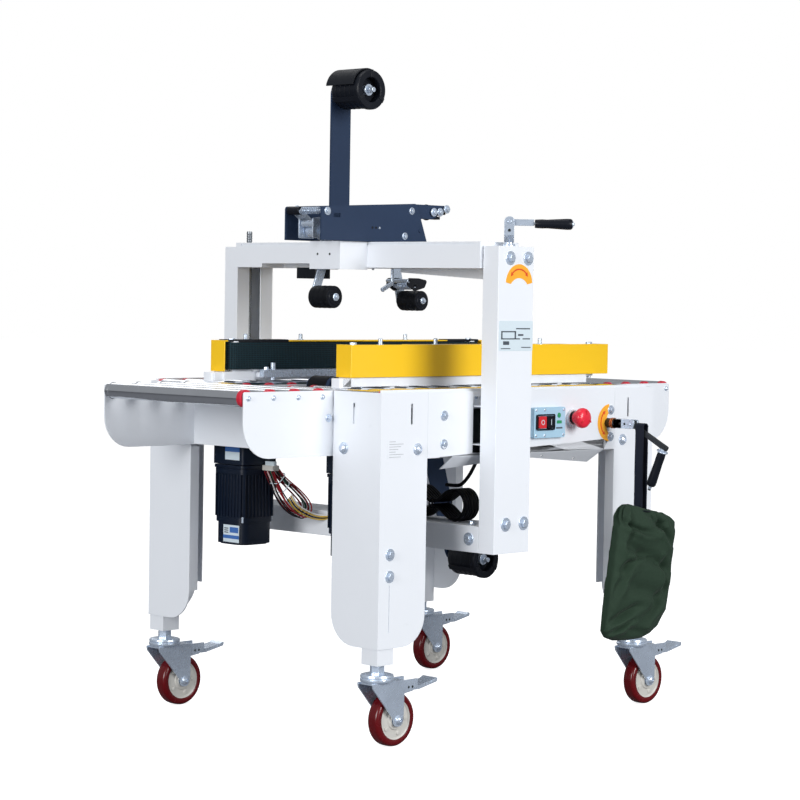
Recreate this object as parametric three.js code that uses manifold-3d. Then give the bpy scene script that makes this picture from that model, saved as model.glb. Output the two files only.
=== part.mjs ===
/**
 * Side-belt carton sealer on four castors.
 *
 * A steel body carries a bed of rollers with a short roller table at each end. Two side belts
 * on yellow-covered carriages drive the carton through. A gantry of two columns holds a bridge
 * with the upper taping head; the lower taping head sits under the bed.
 *
 * Units are millimetres. +X is the way the cartons travel, -Y is the operator's side, +Z is up,
 * and the floor is z = 0. Pieces are drawn from the middle of the machine's body, and the whole
 * group is then moved so that the origin is under the middle of its outer box.
 */
import * as THREE from "three";
import { mergeVertices } from "three/addons/utils/BufferGeometryUtils.js";
import Module from "manifold-3d";

const wasm = await Module();
wasm.setup();

// ---------------------------------------------------------------- driving dimensions
const GAP = 0.3; // clearance between pieces that touch
const SHEET = 3; // thickness of the folded sheet metal
const ARC_REACH = 0.5523; // how far a curve's handles reach to the corner, for a quarter circle
const BIG_CORNER_STEPS = 8; // straight pieces in the large corners of legs and tables

const BODY = { halfLength: 391.5, halfWidth: 323, top: 650.5, bottom: 528 };
const LEG = { flangeX: 122, flangeY: 123, bottom: 184, corner: 58, lip: 22 };
const FOOT_TUBE = { side: 41, bottom: 154, top: 430 };
const TABLE = { halfWidth: 197, infeedEnd: -611, outfeedEnd: 604, corner: 62 };
const ROLLER = { radius: 15, capRadius: 16.2, capWidth: 9, axisZ: 639, pitch: 60.7 };
const BED = { first: -371.5, pitch: 59.9, count: 13, innerY: 57, outerY: 316, fullFrom: 90 };
const CASTOR = { x: 368, y: 299.5, trail: 38, wheelRadius: 50, wheelWidth: 27 };
const COLUMN = { x: -99, halfX: 49, outerY: 381.5, innerY: 342.6, bottom: 347, top: 922 };
const COLUMN_SLOT = 32;
const CROSSBEAM_HEIGHT = 50;
const SCREW = { y: 362, radius: 6, bottom: 352, top: 960 };
const BRIDGE = { front: -155, back: -48, bottom: 880, top: 924, plateTop: 930, farBottom: 888 };
const NOSE = { front: -229, halfWidth: 42.5, bottom: 876 };
const HEAD = { plateY: 48, plateThick: 3.5, left: -288, right: 4, bottom: 930.5 };
const ARM_PLATE = { y: 30, thick: 3.5 };
const FRONT_ROLLER = { x: -226, z: 822, radius: 21.7, halfWidth: 27.5 };
const REAR_ROLLER = { x: 17, z: 817, radius: 20, halfWidth: 27.5 };
const FRONT_PIVOT = { x: -273, z: 986 };
const FRONT_ELBOW = { x: -187, z: 926 };
const REAR_PIVOT = { x: -18, z: 956 };
const REEL = { x: -147, z: 1226, radius: 37.5, ringRadius: 38.8, holeRadius: 24 };
const LOWER_REEL = { x: 208, z: 285 };
const BELT_UNIT = { start: -345.6, end: 397.7, outer: 197, inner: 157, bottom: 673, top: 734 };
const BELT = { start: -335, end: 388, inner: 150, outer: 190, bottom: 677, top: 730, thick: 4 };
const MOTOR = { x: -285, y: 160 };
const WIDTH_SHAFT = { x: 247, z: 581, radius: 8, collar: 10.5 };
const TRAY = { depth: 26, slope: 1.15, holes: [[60, 521], [167, 512]] };
const SWITCH = { x0: 15, x1: 107, z0: 557, z1: 616, depth: 10, back: -268 };
const ESTOP = { x: 137, z: 594, neckRadius: 12 };
const BAG = { x: 247, y: -420, width: 180, depth: 54, bottom: 163, top: 418 };
const WINDOW = { x0: -147, x1: 0, z0: 534, z1: 640 };
const CORD = { diameter: 7, turns: 7, turnPitch: 7.4, hankLength: 170, hankHeight: 64 };
const HANK = { x: COLUMN.x, y: -196 };

// ---------------------------------------------------------------- solids
/** Manifold solid of a closed three.js geometry. */
function solid(geometry) {
  const plain = geometry.clone();
  plain.deleteAttribute("normal");
  plain.deleteAttribute("uv");
  const merged = mergeVertices(plain, 1e-3);
  const triVerts = new Uint32Array(merged.index.array);
  const mesh = { numProp: 3, vertProperties: merged.attributes.position.array, triVerts };
  const made = new wasm.Manifold(new wasm.Mesh(mesh));
  if (made.volume() > 0) return made;
  for (let i = 0; i < triVerts.length; i += 3) {
    [triVerts[i + 1], triVerts[i + 2]] = [triVerts[i + 2], triVerts[i + 1]];
  }
  return new wasm.Manifold(new wasm.Mesh(mesh));
}

/** three.js geometry of a manifold solid, with flat normals. */
function geometryOf(body) {
  const mesh = body.getMesh();
  const positions = new Float32Array(mesh.numVert * 3);
  for (let i = 0; i < mesh.numVert; i++) {
    const at = i * mesh.numProp;
    positions.set(mesh.vertProperties.subarray(at, at + 3), i * 3);
  }
  const indexed = new THREE.BufferGeometry()
    .setAttribute("position", new THREE.BufferAttribute(positions, 3))
    .setIndex(new THREE.BufferAttribute(mesh.triVerts, 1));
  const flat = indexed.toNonIndexed();
  flat.computeVertexNormals();
  return flat;
}

/** Union of solids. */
function join(...parts) {
  return parts.reduce((whole, part) => whole.add(part));
}

/** A solid with others taken out of it. */
function cut(body, ...tools) {
  return tools.reduce((rest, tool) => rest.subtract(tool), body);
}

/** Axis-aligned block between two corners, given as ranges. */
function block([x0, x1], [y0, y1], [z0, z1]) {
  const geometry = new THREE.BoxGeometry(x1 - x0, y1 - y0, z1 - z0);
  geometry.translate((x0 + x1) / 2, (y0 + y1) / 2, (z0 + z1) / 2);
  return solid(geometry);
}

/** Block whose y range is mirrored to the side given by sign. */
function sideBlock(sign, xs, [y0, y1], zs) {
  return block(xs, sign > 0 ? [y0, y1] : [-y1, -y0], zs);
}

/** Turns a piece made along +Z so that it runs along the named axis. */
function alongAxis(geometry, axis) {
  if (axis === "x") geometry.rotateY(Math.PI / 2);
  if (axis === "y") geometry.rotateX(-Math.PI / 2);
  return geometry;
}

/** Round bar between two points on a line along an axis; r1 makes it a cone. */
function bar(axis, centre, from, to, radius, sides = 12, endRadius = radius) {
  const geometry = new THREE.CylinderGeometry(endRadius, radius, to - from, sides);
  geometry.rotateX(Math.PI / 2);
  alongAxis(geometry, axis);
  const middle = (from + to) / 2;
  const place = {
    x: [middle, centre[0], centre[1]],
    y: [centre[0], middle, centre[1]],
    z: [centre[0], centre[1], middle],
  };
  geometry.translate(...place[axis]);
  return solid(geometry);
}

/** Round bar between any two points. */
function strut(a, b, radius, sides = 12, endRadius = radius) {
  const from = new THREE.Vector3(...a);
  const to = new THREE.Vector3(...b);
  const along = to.clone().sub(from);
  const geometry = new THREE.CylinderGeometry(endRadius, radius, along.length(), sides);
  const turn = new THREE.Quaternion().setFromUnitVectors(
    new THREE.Vector3(0, 1, 0),
    along.clone().normalize(),
  );
  geometry.applyQuaternion(turn);
  geometry.translate(...from.add(to).multiplyScalar(0.5).toArray());
  return solid(geometry);
}

/** Ring or wheel from a closed profile of [radius, height] about a line along Y. */
function wheel(profile, [x, y, z], sides = 24, turn = 0) {
  const points = [...profile, profile[0]].map(([r, h]) => new THREE.Vector2(r, h));
  const geometry = new THREE.LatheGeometry(points, sides, turn);
  geometry.translate(x, y, z);
  return solid(geometry);
}

/** Outline with circular corners from [u, v, cornerRadius] points. */
function outline(points) {
  const shape = new THREE.Shape();
  points.forEach(([u, v, radius = 0], i) => {
    const corner = new THREE.Vector2(u, v);
    const before = points[(i + points.length - 1) % points.length];
    const after = points[(i + 1) % points.length];
    const toward = (p) => new THREE.Vector2(p[0], p[1]).sub(corner).setLength(radius);
    const start = corner.clone().add(toward(before));
    const end = corner.clone().add(toward(after));
    if (i === 0) shape.moveTo(start.x, start.y);
    else shape.lineTo(start.x, start.y);
    if (radius > 0) {
      const leave = start.clone().lerp(corner, ARC_REACH);
      const arrive = end.clone().lerp(corner, ARC_REACH);
      shape.bezierCurveTo(leave.x, leave.y, arrive.x, arrive.y, end.x, end.y);
    }
  });
  shape.closePath();
  return shape;
}

/** Flat plate cut to an outline. The outline's axes are x,z for a plate facing y, and so on. */
function plate(facing, points, [from, to], steps = 4) {
  const options = { depth: to - from, bevelEnabled: false, curveSegments: steps };
  const geometry = new THREE.ExtrudeGeometry(outline(points), options);
  const basis = new THREE.Matrix4();
  const [X, Y, Z] = [
    new THREE.Vector3(1, 0, 0),
    new THREE.Vector3(0, 1, 0),
    new THREE.Vector3(0, 0, 1),
  ];
  if (facing === "y") {
    basis.makeBasis(X, Z, Y.clone().negate());
    geometry.applyMatrix4(basis);
    geometry.translate(0, to, 0);
  } else if (facing === "x") {
    basis.makeBasis(Y, Z, X);
    geometry.applyMatrix4(basis);
    geometry.translate(from, 0, 0);
  } else {
    geometry.translate(0, 0, from);
  }
  return solid(geometry);
}

// ---------------------------------------------------------------- materials
const paint = (color, roughness = 0.45, metalness = 0.05) =>
  new THREE.MeshStandardMaterial({ color, roughness, metalness });
const whitePaint = () => paint(0xe9ebef, 0.42, 0.1);
const creamPaint = () => paint(0xe6dfd0, 0.5, 0.05);
const yellowPaint = () => paint(0xf0cf35, 0.4, 0.05);
const navyPaint = () => paint(0x2b3a56, 0.45, 0.2);
const blackRubber = () => paint(0x15191c, 0.7, 0);
const beltRubber = () => paint(0x10222a, 0.8, 0);
const zincSteel = () => paint(0xb9bdbf, 0.35, 0.85);
const chromeSteel = () => paint(0xd7d9dc, 0.15, 1);
const redRubber = () => paint(0x7a0d16, 0.45, 0);
const redPlastic = () => paint(0xdb2a45, 0.35, 0);
const blackPlastic = () => paint(0x17181b, 0.45, 0);
const motorPaint = () => paint(0x0c1420, 0.4, 0.4);
const switchPlastic = () => paint(0xaecbe0, 0.45, 0);
const greenCloth = () => paint(0x3a5448, 0.9, 0);

const root = new THREE.Group();
root.name = "carton_sealer";

/** Adds a named piece to the machine. */
function add(name, body, material) {
  const mesh = new THREE.Mesh(geometryOf(body), material);
  mesh.name = name;
  root.add(mesh);
}

const ENDS = [
  ["infeed", -1],
  ["outfeed", 1],
];
const SIDES = [
  ["near", -1],
  ["far", 1],
];

// ---------------------------------------------------------------- body
/** Low domed bolt head on a face along x or y. */
function boltHead(axis, centre, face, sign, radius = 10, height = 5) {
  const from = sign > 0 ? face - 0.5 : face - height;
  const to = sign > 0 ? face + height : face + 0.5;
  const [big, small] = [radius, radius * 0.6];
  return bar(axis, centre, from, to, sign > 0 ? big : small, 8, sign > 0 ? small : big);
}

/** Folded corner leg with rounded free corners, side lips and its bolted-in foot tube. */
function leg(sx, sy) {
  const { halfLength: L, halfWidth: B, top } = BODY;
  const { flangeX, flangeY, bottom, corner, lip } = LEG;
  const range = (a, b) => [Math.min(a, b), Math.max(a, b)];
  const wide = [
    [sx * L, bottom],
    [sx * (L - flangeX), bottom, corner],
    [sx * (L - flangeX), top],
    [sx * L, top],
  ];
  const deep = [
    [sy * B, bottom],
    [sy * (B - flangeY), bottom, corner],
    [sy * (B - flangeY), top],
    [sy * B, top],
  ];
  const sideOutline = sx > 0 ? wide.reverse() : wide;
  const endOutline = sy > 0 ? deep.reverse() : deep;
  const sideFlange = plate("y", sideOutline, range(sy * B, sy * (B - SHEET)), BIG_CORNER_STEPS);
  const endFlange = plate("x", endOutline, range(sx * L, sx * (L - SHEET)), BIG_CORNER_STEPS);
  const lipBottom = bottom + corner;
  const lipTop = BODY.bottom - 2;
  const sideLip = block(
    range(sx * (L - flangeX), sx * (L - flangeX + SHEET)),
    range(sy * (B - 1), sy * (B - lip)),
    [lipBottom, lipTop],
  );
  const endLip = block(
    range(sx * (L - 1), sx * (L - lip)),
    range(sy * (B - flangeY), sy * (B - flangeY + SHEET)),
    [lipBottom, lipTop],
  );
  const near = 2.5;
  const tube = block(
    range(sx * (L - near), sx * (L - near - FOOT_TUBE.side)),
    range(sy * (B - near), sy * (B - near - FOOT_TUBE.side)),
    [FOOT_TUBE.bottom, FOOT_TUBE.top],
  );
  const slotX = L - 80;
  const slotY = B - 70;
  const slotZ = [592, 630];
  const slots = [
    block(range(sx * (slotX - 2.5), sx * (slotX + 2.5)), range(sy * (B + 1), sy * (B - SHEET - 1)), slotZ),
    block(range(sx * (L + 1), sx * (L - SHEET - 1)), range(sy * (slotY - 2.5), sy * (slotY + 2.5)), slotZ),
    block(range(sx * (L - 29), sx * (L - 26)), range(sy * (B + 1), sy * (B - 1.5)), [214, 300]),
  ];
  const heads = [
    boltHead("y", [sx * (L - 96), 546], sy * B, sy),
    boltHead("x", [sy * (B - 95), 546], sx * L, sx),
    boltHead("y", [sx * (L - 28), 356], sy * B, sy, 7, 4),
    boltHead("y", [sx * (L - 28), 316], sy * B, sy, 7, 4),
  ];
  return join(cut(join(sideFlange, endFlange, sideLip, endLip, tube), ...slots), ...heads);
}

/** Long side panel with the column's window; the near one also carries the controls. */
function sidePanel(sign) {
  const halfLength = BODY.halfLength - LEG.flangeX - GAP;
  const B = BODY.halfWidth;
  const sheet = sideBlock(sign, [-halfLength, halfLength], [B - SHEET, B], [BODY.bottom, BODY.top]);
  const window = sideBlock(sign, [WINDOW.x0, WINDOW.x1], [B - 10, B + 5], [WINDOW.z0, WINDOW.z1]);
  const bracketBolts = [604, 549].map((z) => boltHead("y", [-226, z], sign * B, sign, 6, 3.5));
  if (sign > 0) {
    return join(cut(sheet, window), ...bracketBolts);
  }
  const lowEdge = BODY.bottom - TRAY.depth;
  const trayOutline = [
    [-206, lowEdge + 2],
    [10, lowEdge + 18],
    [222, lowEdge],
    [237, BODY.bottom + 1],
    [-203, BODY.bottom + 1],
  ];
  const slopeInwards = [1, 0, 0, 0, 0, 1, 0, 0, 0, -TRAY.slope, 1, 0, 0, TRAY.slope * BODY.bottom, 0, 1];
  const tray = plate("y", trayOutline, [-B + GAP, -B + SHEET]).transform(slopeInwards);
  const through = [-B - 5, -B + 10];
  const holes = [
    bar("y", [WIDTH_SHAFT.x, WIDTH_SHAFT.z], ...through, WIDTH_SHAFT.radius + 2),
    bar("y", [ESTOP.x, ESTOP.z], -B - 9, -B + 10, ESTOP.neckRadius + 0.8),
    block([SWITCH.x0 + 6, SWITCH.x1 - 6], through, [SWITCH.z0 + 5, SWITCH.z1 - 5]),
    ...TRAY.holes.map((hole) => bar("y", hole, -B, -B + TRAY.depth * TRAY.slope + SHEET, 2.5, 8)),
  ];
  const stopCollar = bar("y", [ESTOP.x, ESTOP.z], -B - 6, -B + 1, 16, 14);
  const plateBolts = [606, 553].map((z) => boltHead("y", [257, z], -B, -1, 5, 3));
  return join(cut(join(sheet, tray, stopCollar), window, ...holes), ...bracketBolts, ...plateBolts);
}

/** End plate between the legs with the two side plates of a roller table. */
function tableFrame(sx) {
  const inner = BODY.halfLength - SHEET - GAP;
  const tip = sx < 0 ? TABLE.infeedEnd : TABLE.outfeedEnd;
  const y = TABLE.halfWidth;
  const xs = sx < 0 ? [-inner, -inner + SHEET] : [inner - SHEET, inner];
  const endPlate = block(xs, [-BODY.halfWidth + 6, BODY.halfWidth - 6], [BODY.bottom + 3, 622]);
  const inside = sx * (inner - 1.2);
  const profile = [
    [inside, BODY.bottom + 2],
    [tip, BODY.bottom + 2, TABLE.corner],
    [tip, BODY.top, 4],
    [inside, BODY.top],
  ];
  const ordered = sx > 0 ? profile : profile.slice().reverse();
  const cheeks = [
    plate("y", ordered, [y - SHEET, y], BIG_CORNER_STEPS),
    plate("y", ordered, [-y, -y + SHEET], BIG_CORNER_STEPS),
  ];
  const first = tip - sx * 11;
  const screws = [0, 1, 2, 3].flatMap((i) => {
    const x = first - sx * i * ROLLER.pitch;
    return [
      boltHead("y", [x, ROLLER.axisZ], y, 1, 4.5, 2.5),
      boltHead("y", [x, ROLLER.axisZ], -y, -1, 4.5, 2.5),
    ];
  });
  return join(endPlate, ...cheeks, ...screws);
}

/** Free-turning table roller with its plastic end caps and axle stubs. */
function tableRoller(x) {
  const { radius, capRadius, capWidth, axisZ } = ROLLER;
  const end = TABLE.halfWidth - SHEET - 2;
  const stubEnd = TABLE.halfWidth - SHEET - GAP;
  const stubRadius = 4;
  const half = [
    [radius, end - capWidth],
    [capRadius, end - capWidth],
    [capRadius, end],
    [stubRadius, end],
    [stubRadius, stubEnd],
    [0, stubEnd],
  ];
  const otherHalf = half.map(([r, h]) => [r, -h]).reverse();
  return wheel([...otherHalf, ...half], [x, 0, axisZ], 12);
}

/** Main bed: short rollers either side of the lower head, full ones behind it, and their rails. */
function rollerBed() {
  const { first, pitch, count, innerY, outerY, fullFrom } = BED;
  const parts = [];
  for (let i = 0; i < count; i++) {
    const x = first + i * pitch;
    if (x > fullFrom) {
      parts.push(bar("y", [x, ROLLER.axisZ], -outerY + 2, outerY - 2, ROLLER.radius, 10));
      continue;
    }
    for (const [y0, y1] of [
      [-outerY + 2, -innerY - 1],
      [innerY + 1, outerY - 2],
    ]) {
      parts.push(bar("y", [x, ROLLER.axisZ], y0, y1, ROLLER.radius, 10));
    }
  }
  const bedEnd = 384;
  const railZ = [622, 655];
  const innerEnd = fullFrom + 22;
  for (const [, sign] of SIDES) {
    parts.push(sideBlock(sign, [-bedEnd, bedEnd - 8], [outerY - SHEET, outerY], railZ));
    parts.push(sideBlock(sign, [-bedEnd, innerEnd], [innerY, innerY + SHEET], [622, 650]));
  }
  return join(...parts);
}

for (const [end, sx] of ENDS) {
  for (const [side, sy] of SIDES) add(`leg_${side}_${end}`, leg(sx, sy), whitePaint());
}
for (const [side, sy] of SIDES) add(`side_panel_${side}`, sidePanel(sy), whitePaint());
for (const [end, sx] of ENDS) {
  add(`${end}_table_frame`, tableFrame(sx), whitePaint());
  const tip = sx < 0 ? TABLE.infeedEnd : TABLE.outfeedEnd;
  for (let i = 0; i < 4; i++) {
    const x = tip - sx * (11 + i * ROLLER.pitch);
    add(`${end}_roller_${i + 1}`, tableRoller(x), chromeSteel());
  }
}
add("roller_bed", rollerBed(), chromeSteel());

// ---------------------------------------------------------------- castors
/** Swivel fork with its nut, bearing disc, axle and brake pedal. */
function castorFork(x, y) {
  const wheelX = x + CASTOR.trail;
  const nut = bar("z", [x, y], 136, FOOT_TUBE.bottom - GAP, 12, 6);
  const disc = bar("z", [x, y], 123, 137, 31, 14, 29);
  const crown = block([x - 24, wheelX + 14], [y - 20, y + 20], [112, 123.5]);
  const cheek = [
    [x - 24, 120],
    [x - 20, 104],
    [wheelX - 13, 44, 8],
    [wheelX + 13, 44, 8],
    [wheelX + 16, 100],
    [wheelX + 14, 120],
  ];
  const cheeks = [
    plate("y", cheek, [y - 20, y - 17], 2),
    plate("y", cheek, [y + 17, y + 20], 2),
  ];
  const axle = bar("y", [wheelX, CASTOR.wheelRadius], y - 24, y + 24, 6, 8);
  const pedalOutline = [
    [wheelX + 8, 104],
    [wheelX + 60, 104],
    [x + 142, 110],
    [x + 142, 116],
    [wheelX + 58, 111],
    [wheelX + 8, 118],
  ];
  const pedal = plate("y", pedalOutline, [y - 17.5, y + 17.5]);
  return join(nut, disc, crown, ...cheeks, axle, pedal);
}

/** Wheel with a round-shouldered tyre and a bored hub, one of its flats on the floor. */
function castorWheel(x, y) {
  const sides = 24;
  const half = CASTOR.wheelWidth / 2;
  const r = CASTOR.wheelRadius / Math.cos(Math.PI / sides);
  const shoulder = 6;
  const profile = [
    [7, -half],
    [r - shoulder, -half],
    [r, -half + shoulder],
    [r, half - shoulder],
    [r - shoulder, half],
    [7, half],
  ];
  return wheel(profile, [x + CASTOR.trail, y, CASTOR.wheelRadius], sides, Math.PI / sides);
}

for (const [end, sx] of ENDS) {
  for (const [side, sy] of SIDES) {
    const [x, y] = [sx * CASTOR.x, sy * CASTOR.y];
    add(`castor_fork_${side}_${end}`, castorFork(x, y), zincSteel());
    add(`castor_wheel_${side}_${end}`, castorWheel(x, y), redRubber());
  }
}

// ---------------------------------------------------------------- gantry
/** Column: folded box slotted on its inner face, with the bracket that bolts it to the body. */
function column(sign) {
  const { x, halfX, outerY, innerY, bottom, top } = COLUMN;
  const box = sideBlock(sign, [x - halfX, x + halfX], [innerY, outerY], [bottom, top]);
  const hollow = sideBlock(
    sign,
    [x - halfX + SHEET, x + halfX - SHEET],
    [innerY + SHEET, outerY - SHEET],
    [bottom + SHEET, top - SHEET],
  );
  const slotXs = [x - COLUMN_SLOT / 2, x + COLUMN_SLOT / 2];
  const slot = sideBlock(sign, slotXs, [innerY - 1, innerY + SHEET + 1], [bottom + 58, top - SHEET]);
  const screwHole = bar("z", [x, sign * SCREW.y], top - 10, top + 10, SCREW.radius + 1);
  const panelInside = BODY.halfWidth - SHEET - GAP;
  const backPlate = [panelInside - SHEET, panelInside];
  const ledges = [623, 551].map((z) =>
    sideBlock(sign, [WINDOW.x0 + 2, WINDOW.x1 - 5], [backPlate[0], innerY + 1], [z - 2, z]),
  );
  const bracket = sideBlock(sign, [-236, WINDOW.x0 + 4], backPlate, [541, 619]);
  const bracketFoot = sideBlock(sign, [WINDOW.x0 + 2, WINDOW.x0 + 4], backPlate, [541, 623]);
  const bolts = [900, 402].flatMap((z) =>
    [-17, 33].map((dx) => boltHead("y", [x + dx, z], sign * outerY, sign, 6, 3.5)),
  );
  return join(cut(join(box, ...ledges, bracket, bracketFoot), hollow, slot, screwHole), ...bolts);
}

/** Cross member that ties the feet of the columns together, open underneath. */
function crossbeam() {
  const { x, halfX, innerY, bottom } = COLUMN;
  const y = innerY - GAP;
  const outer = block([x - halfX, x + halfX], [-y, y], [bottom, bottom + CROSSBEAM_HEIGHT]);
  const hollow = block(
    [x - halfX + SHEET, x + halfX - SHEET],
    [-y + SHEET, y - SHEET],
    [bottom - 1, bottom + CROSSBEAM_HEIGHT - SHEET],
  );
  return cut(outer, hollow);
}

/** Bridge that carries the upper head: a box beam with a nose around the front roller arm. */
function bridge() {
  const { front, back, bottom, top, plateTop, farBottom } = BRIDGE;
  const endY = COLUMN.innerY - 2;
  const beam = block([front, back], [-endY, endY], [bottom, plateTop]);
  const step = block([front - 1, front + 60], [NOSE.halfWidth, 261], [bottom - 1, farBottom]);
  const shadowGap = block([front - 1, front + 2], [-endY + 10, 325], [top, top + 3]);
  const nose = block([NOSE.front, front + 1], [-NOSE.halfWidth, NOSE.halfWidth], [NOSE.bottom, plateTop]);
  const wall = 4;
  const wellY = NOSE.halfWidth - wall;
  const well = block([NOSE.front + wall, back - wall], [-wellY, wellY], [bottom - 10, plateTop + 1]);
  const hollow = block(
    [front + SHEET, back - SHEET],
    [-endY + SHEET, endY - SHEET],
    [farBottom + SHEET, top - SHEET],
  );
  const stiffener = [
    [NOSE.halfWidth, bottom + 2],
    [-endY, bottom + 2],
    [-endY, bottom - 24],
    [NOSE.halfWidth, bottom - 3],
  ];
  const rib = plate("x", stiffener, [back - 9, back - 6]);
  const neck = (sign) =>
    sideBlock(sign, [COLUMN.x - 13, COLUMN.x + 13], [endY - 1, SCREW.y - 14], [bottom + 4, top - 7]);
  const nutBlock = (sign) =>
    sideBlock(sign, [COLUMN.x - 30, COLUMN.x + 30], [SCREW.y - 15, SCREW.y + 14], [bottom + 2, top - 7]);
  const nutHole = (sign) =>
    bar("z", [COLUMN.x, sign * SCREW.y], bottom - 5, plateTop + 5, SCREW.radius + 1);
  const shell = join(cut(join(beam, nose), step, shadowGap, hollow, well), rib);
  const ends = [1, -1].flatMap((sign) => [neck(sign), nutBlock(sign)]);
  return cut(join(shell, ...ends), nutHole(1), nutHole(-1), well);
}

for (const [side, sign] of SIDES) add(`column_${side}`, column(sign), whitePaint());
add("crossbeam", crossbeam(), whitePaint());
add("bridge", bridge(), whitePaint());

// ---------------------------------------------------------------- height screws and crank
const CRANK_TURN = -45.6 * THREE.MathUtils.DEG2RAD;
const LIFT_CRANK = { pivotZ: 968, armLength: 46, gripStart: 48, gripLength: 70 };

/** Point at a distance along the height crank's arm, raised by dz. */
function onLiftCrank(distance, dz) {
  return [
    COLUMN.x + distance * Math.cos(CRANK_TURN),
    -SCREW.y + distance * Math.sin(CRANK_TURN),
    LIFT_CRANK.pivotZ + dz,
  ];
}

/** Lead screw of the near column with the fork for the folding crank on its top. */
function nearScrew() {
  const screw = bar("z", [COLUMN.x, -SCREW.y], SCREW.bottom, 934, SCREW.radius, 12);
  const half = 9;
  const fork = block([-half, half], [-half, half], [930, 978]);
  const mouth = block([-half - 1, half + 1], [-4, 4], [944, 980]);
  const pin = bar("y", [0, LIFT_CRANK.pivotZ], -half - 1.5, half + 1.5, 3, 8);
  const turned = join(cut(fork, mouth), pin)
    .rotate([0, 0, THREE.MathUtils.radToDeg(CRANK_TURN)])
    .translate([COLUMN.x, -SCREW.y, 0]);
  return join(screw, turned);
}

/** Folding arm of the height crank: an eye on the fork's pin and a bar out to the grip. */
function liftCrankArm() {
  const { pivotZ, armLength } = LIFT_CRANK;
  const eye = bar("y", [0, pivotZ], -3.4, 3.4, 9, 12);
  const flat = block([2, armLength], [-3.4, 3.4], [pivotZ - 7, pivotZ + 5]);
  const spindle = bar("x", [0, pivotZ - 3], armLength - 1, armLength + LIFT_CRANK.gripLength + 6, 3, 8);
  const bore = bar("y", [0, pivotZ], -5, 5, 3.4, 10);
  return cut(join(eye, flat, spindle), bore)
    .rotate([0, 0, THREE.MathUtils.radToDeg(CRANK_TURN)])
    .translate([COLUMN.x, -SCREW.y, 0]);
}

/** Thin bar that runs past both ends of a line. */
function extended(from, to, extra, radius) {
  const a = new THREE.Vector3(...from);
  const b = new THREE.Vector3(...to);
  const more = b.clone().sub(a).setLength(extra);
  return strut(a.clone().sub(more).toArray(), b.clone().add(more).toArray(), radius, 8);
}

/** Hollow grip of a crank, thicker at its free end, along a line. */
function grip(from, to, smallRadius, bigRadius) {
  return cut(strut(from, to, smallRadius, 12, bigRadius), extended(from, to, 3, 3.6));
}

add("lift_screw_near", nearScrew(), zincSteel());
add("lift_screw_far", bar("z", [COLUMN.x, SCREW.y], SCREW.bottom, SCREW.top, SCREW.radius, 12), zincSteel());
add("lift_crank_arm", liftCrankArm(), zincSteel());
const gripEnd = LIFT_CRANK.gripStart + LIFT_CRANK.gripLength;
add(
  "lift_crank_grip",
  grip(onLiftCrank(LIFT_CRANK.gripStart, -3), onLiftCrank(gripEnd, -3), 8, 10.5),
  blackPlastic(),
);

// ---------------------------------------------------------------- width shaft and crank
const WIDTH_CRANK = {
  pivotY: -387,
  armEnd: [-478, 540],
  gripTop: [-462, 528],
  gripBottom: [-436, 463],
};

/** Width-adjusting shaft right across the machine, with the fork for its folding crank. */
function widthShaft() {
  const { x, z, radius } = WIDTH_SHAFT;
  const half = 9;
  const shaft = bar("y", [x, z], -352, BODY.halfWidth - SHEET - GAP, radius);
  const collar = bar("y", [x, z], -345, -BODY.halfWidth - GAP, WIDTH_SHAFT.collar);
  const fork = block([x - half, x + half], [-396, -345], [z - half, z + half]);
  const mouth = block([x - 4, x + 4], [-398, -366], [z - half - 1, z + half + 1]);
  const pin = bar("x", [WIDTH_CRANK.pivotY, z], x - half - 1.5, x + half + 1.5, 3, 8);
  return join(cut(join(shaft, collar, fork), mouth), pin);
}

/** Folding arm of the width crank, drooping from its pin to the grip's spindle. */
function widthCrankArm() {
  const { x, z } = WIDTH_SHAFT;
  const { pivotY, armEnd, gripTop, gripBottom } = WIDTH_CRANK;
  const half = 3.4;
  const eye = bar("x", [pivotY, z], x - half, x + half, 9, 12);
  const barOutline = [
    [pivotY + 2, z + 6],
    [pivotY - 2, z - 6],
    [armEnd[0] + 6, armEnd[1] - 9, 3],
    [armEnd[0], armEnd[1], 3],
  ];
  const flat = plate("x", barOutline, [x - half, x + half], 2);
  const spindle = extended([x, ...gripTop], [x, ...gripBottom], 10, 3);
  const bore = bar("x", [pivotY, z], x - 6, x + 6, 3.4, 10);
  return cut(join(eye, flat, spindle), bore);
}

add("width_shaft", widthShaft(), zincSteel());
add("width_crank_arm", widthCrankArm(), zincSteel());
add(
  "width_crank_grip",
  grip([WIDTH_SHAFT.x, ...WIDTH_CRANK.gripTop], [WIDTH_SHAFT.x, ...WIDTH_CRANK.gripBottom], 8.5, 9.5),
  blackPlastic(),
);

// ---------------------------------------------------------------- side belts
/** Rounded slot outline of a belt run between two end pulleys. */
function beltOutline(x0, x1, y0, y1) {
  const r = (y1 - y0) / 2 - 0.5;
  return [
    [x0, y0, r],
    [x1, y0, r],
    [x1, y1, r],
    [x0, y1, r],
  ];
}

/** Points of an outline mirrored to the far or near side, kept counter-clockwise. */
function mirrored(points, sign) {
  const flipped = points.map(([u, v, r]) => [u, sign * v, r]);
  return sign > 0 ? flipped : flipped.reverse();
}

/** Closed rubber belt standing on its edge. */
function belt(sign) {
  const { start, end, inner, outer, bottom, top, thick: t } = BELT;
  const outside = mirrored(beltOutline(start, end, inner, outer), sign);
  const inside = mirrored(beltOutline(start + t, end - t, inner + t, outer - t), sign);
  return cut(plate("z", outside, [bottom, top], 5), plate("z", inside, [bottom - 1, top + 1], 5));
}

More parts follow.
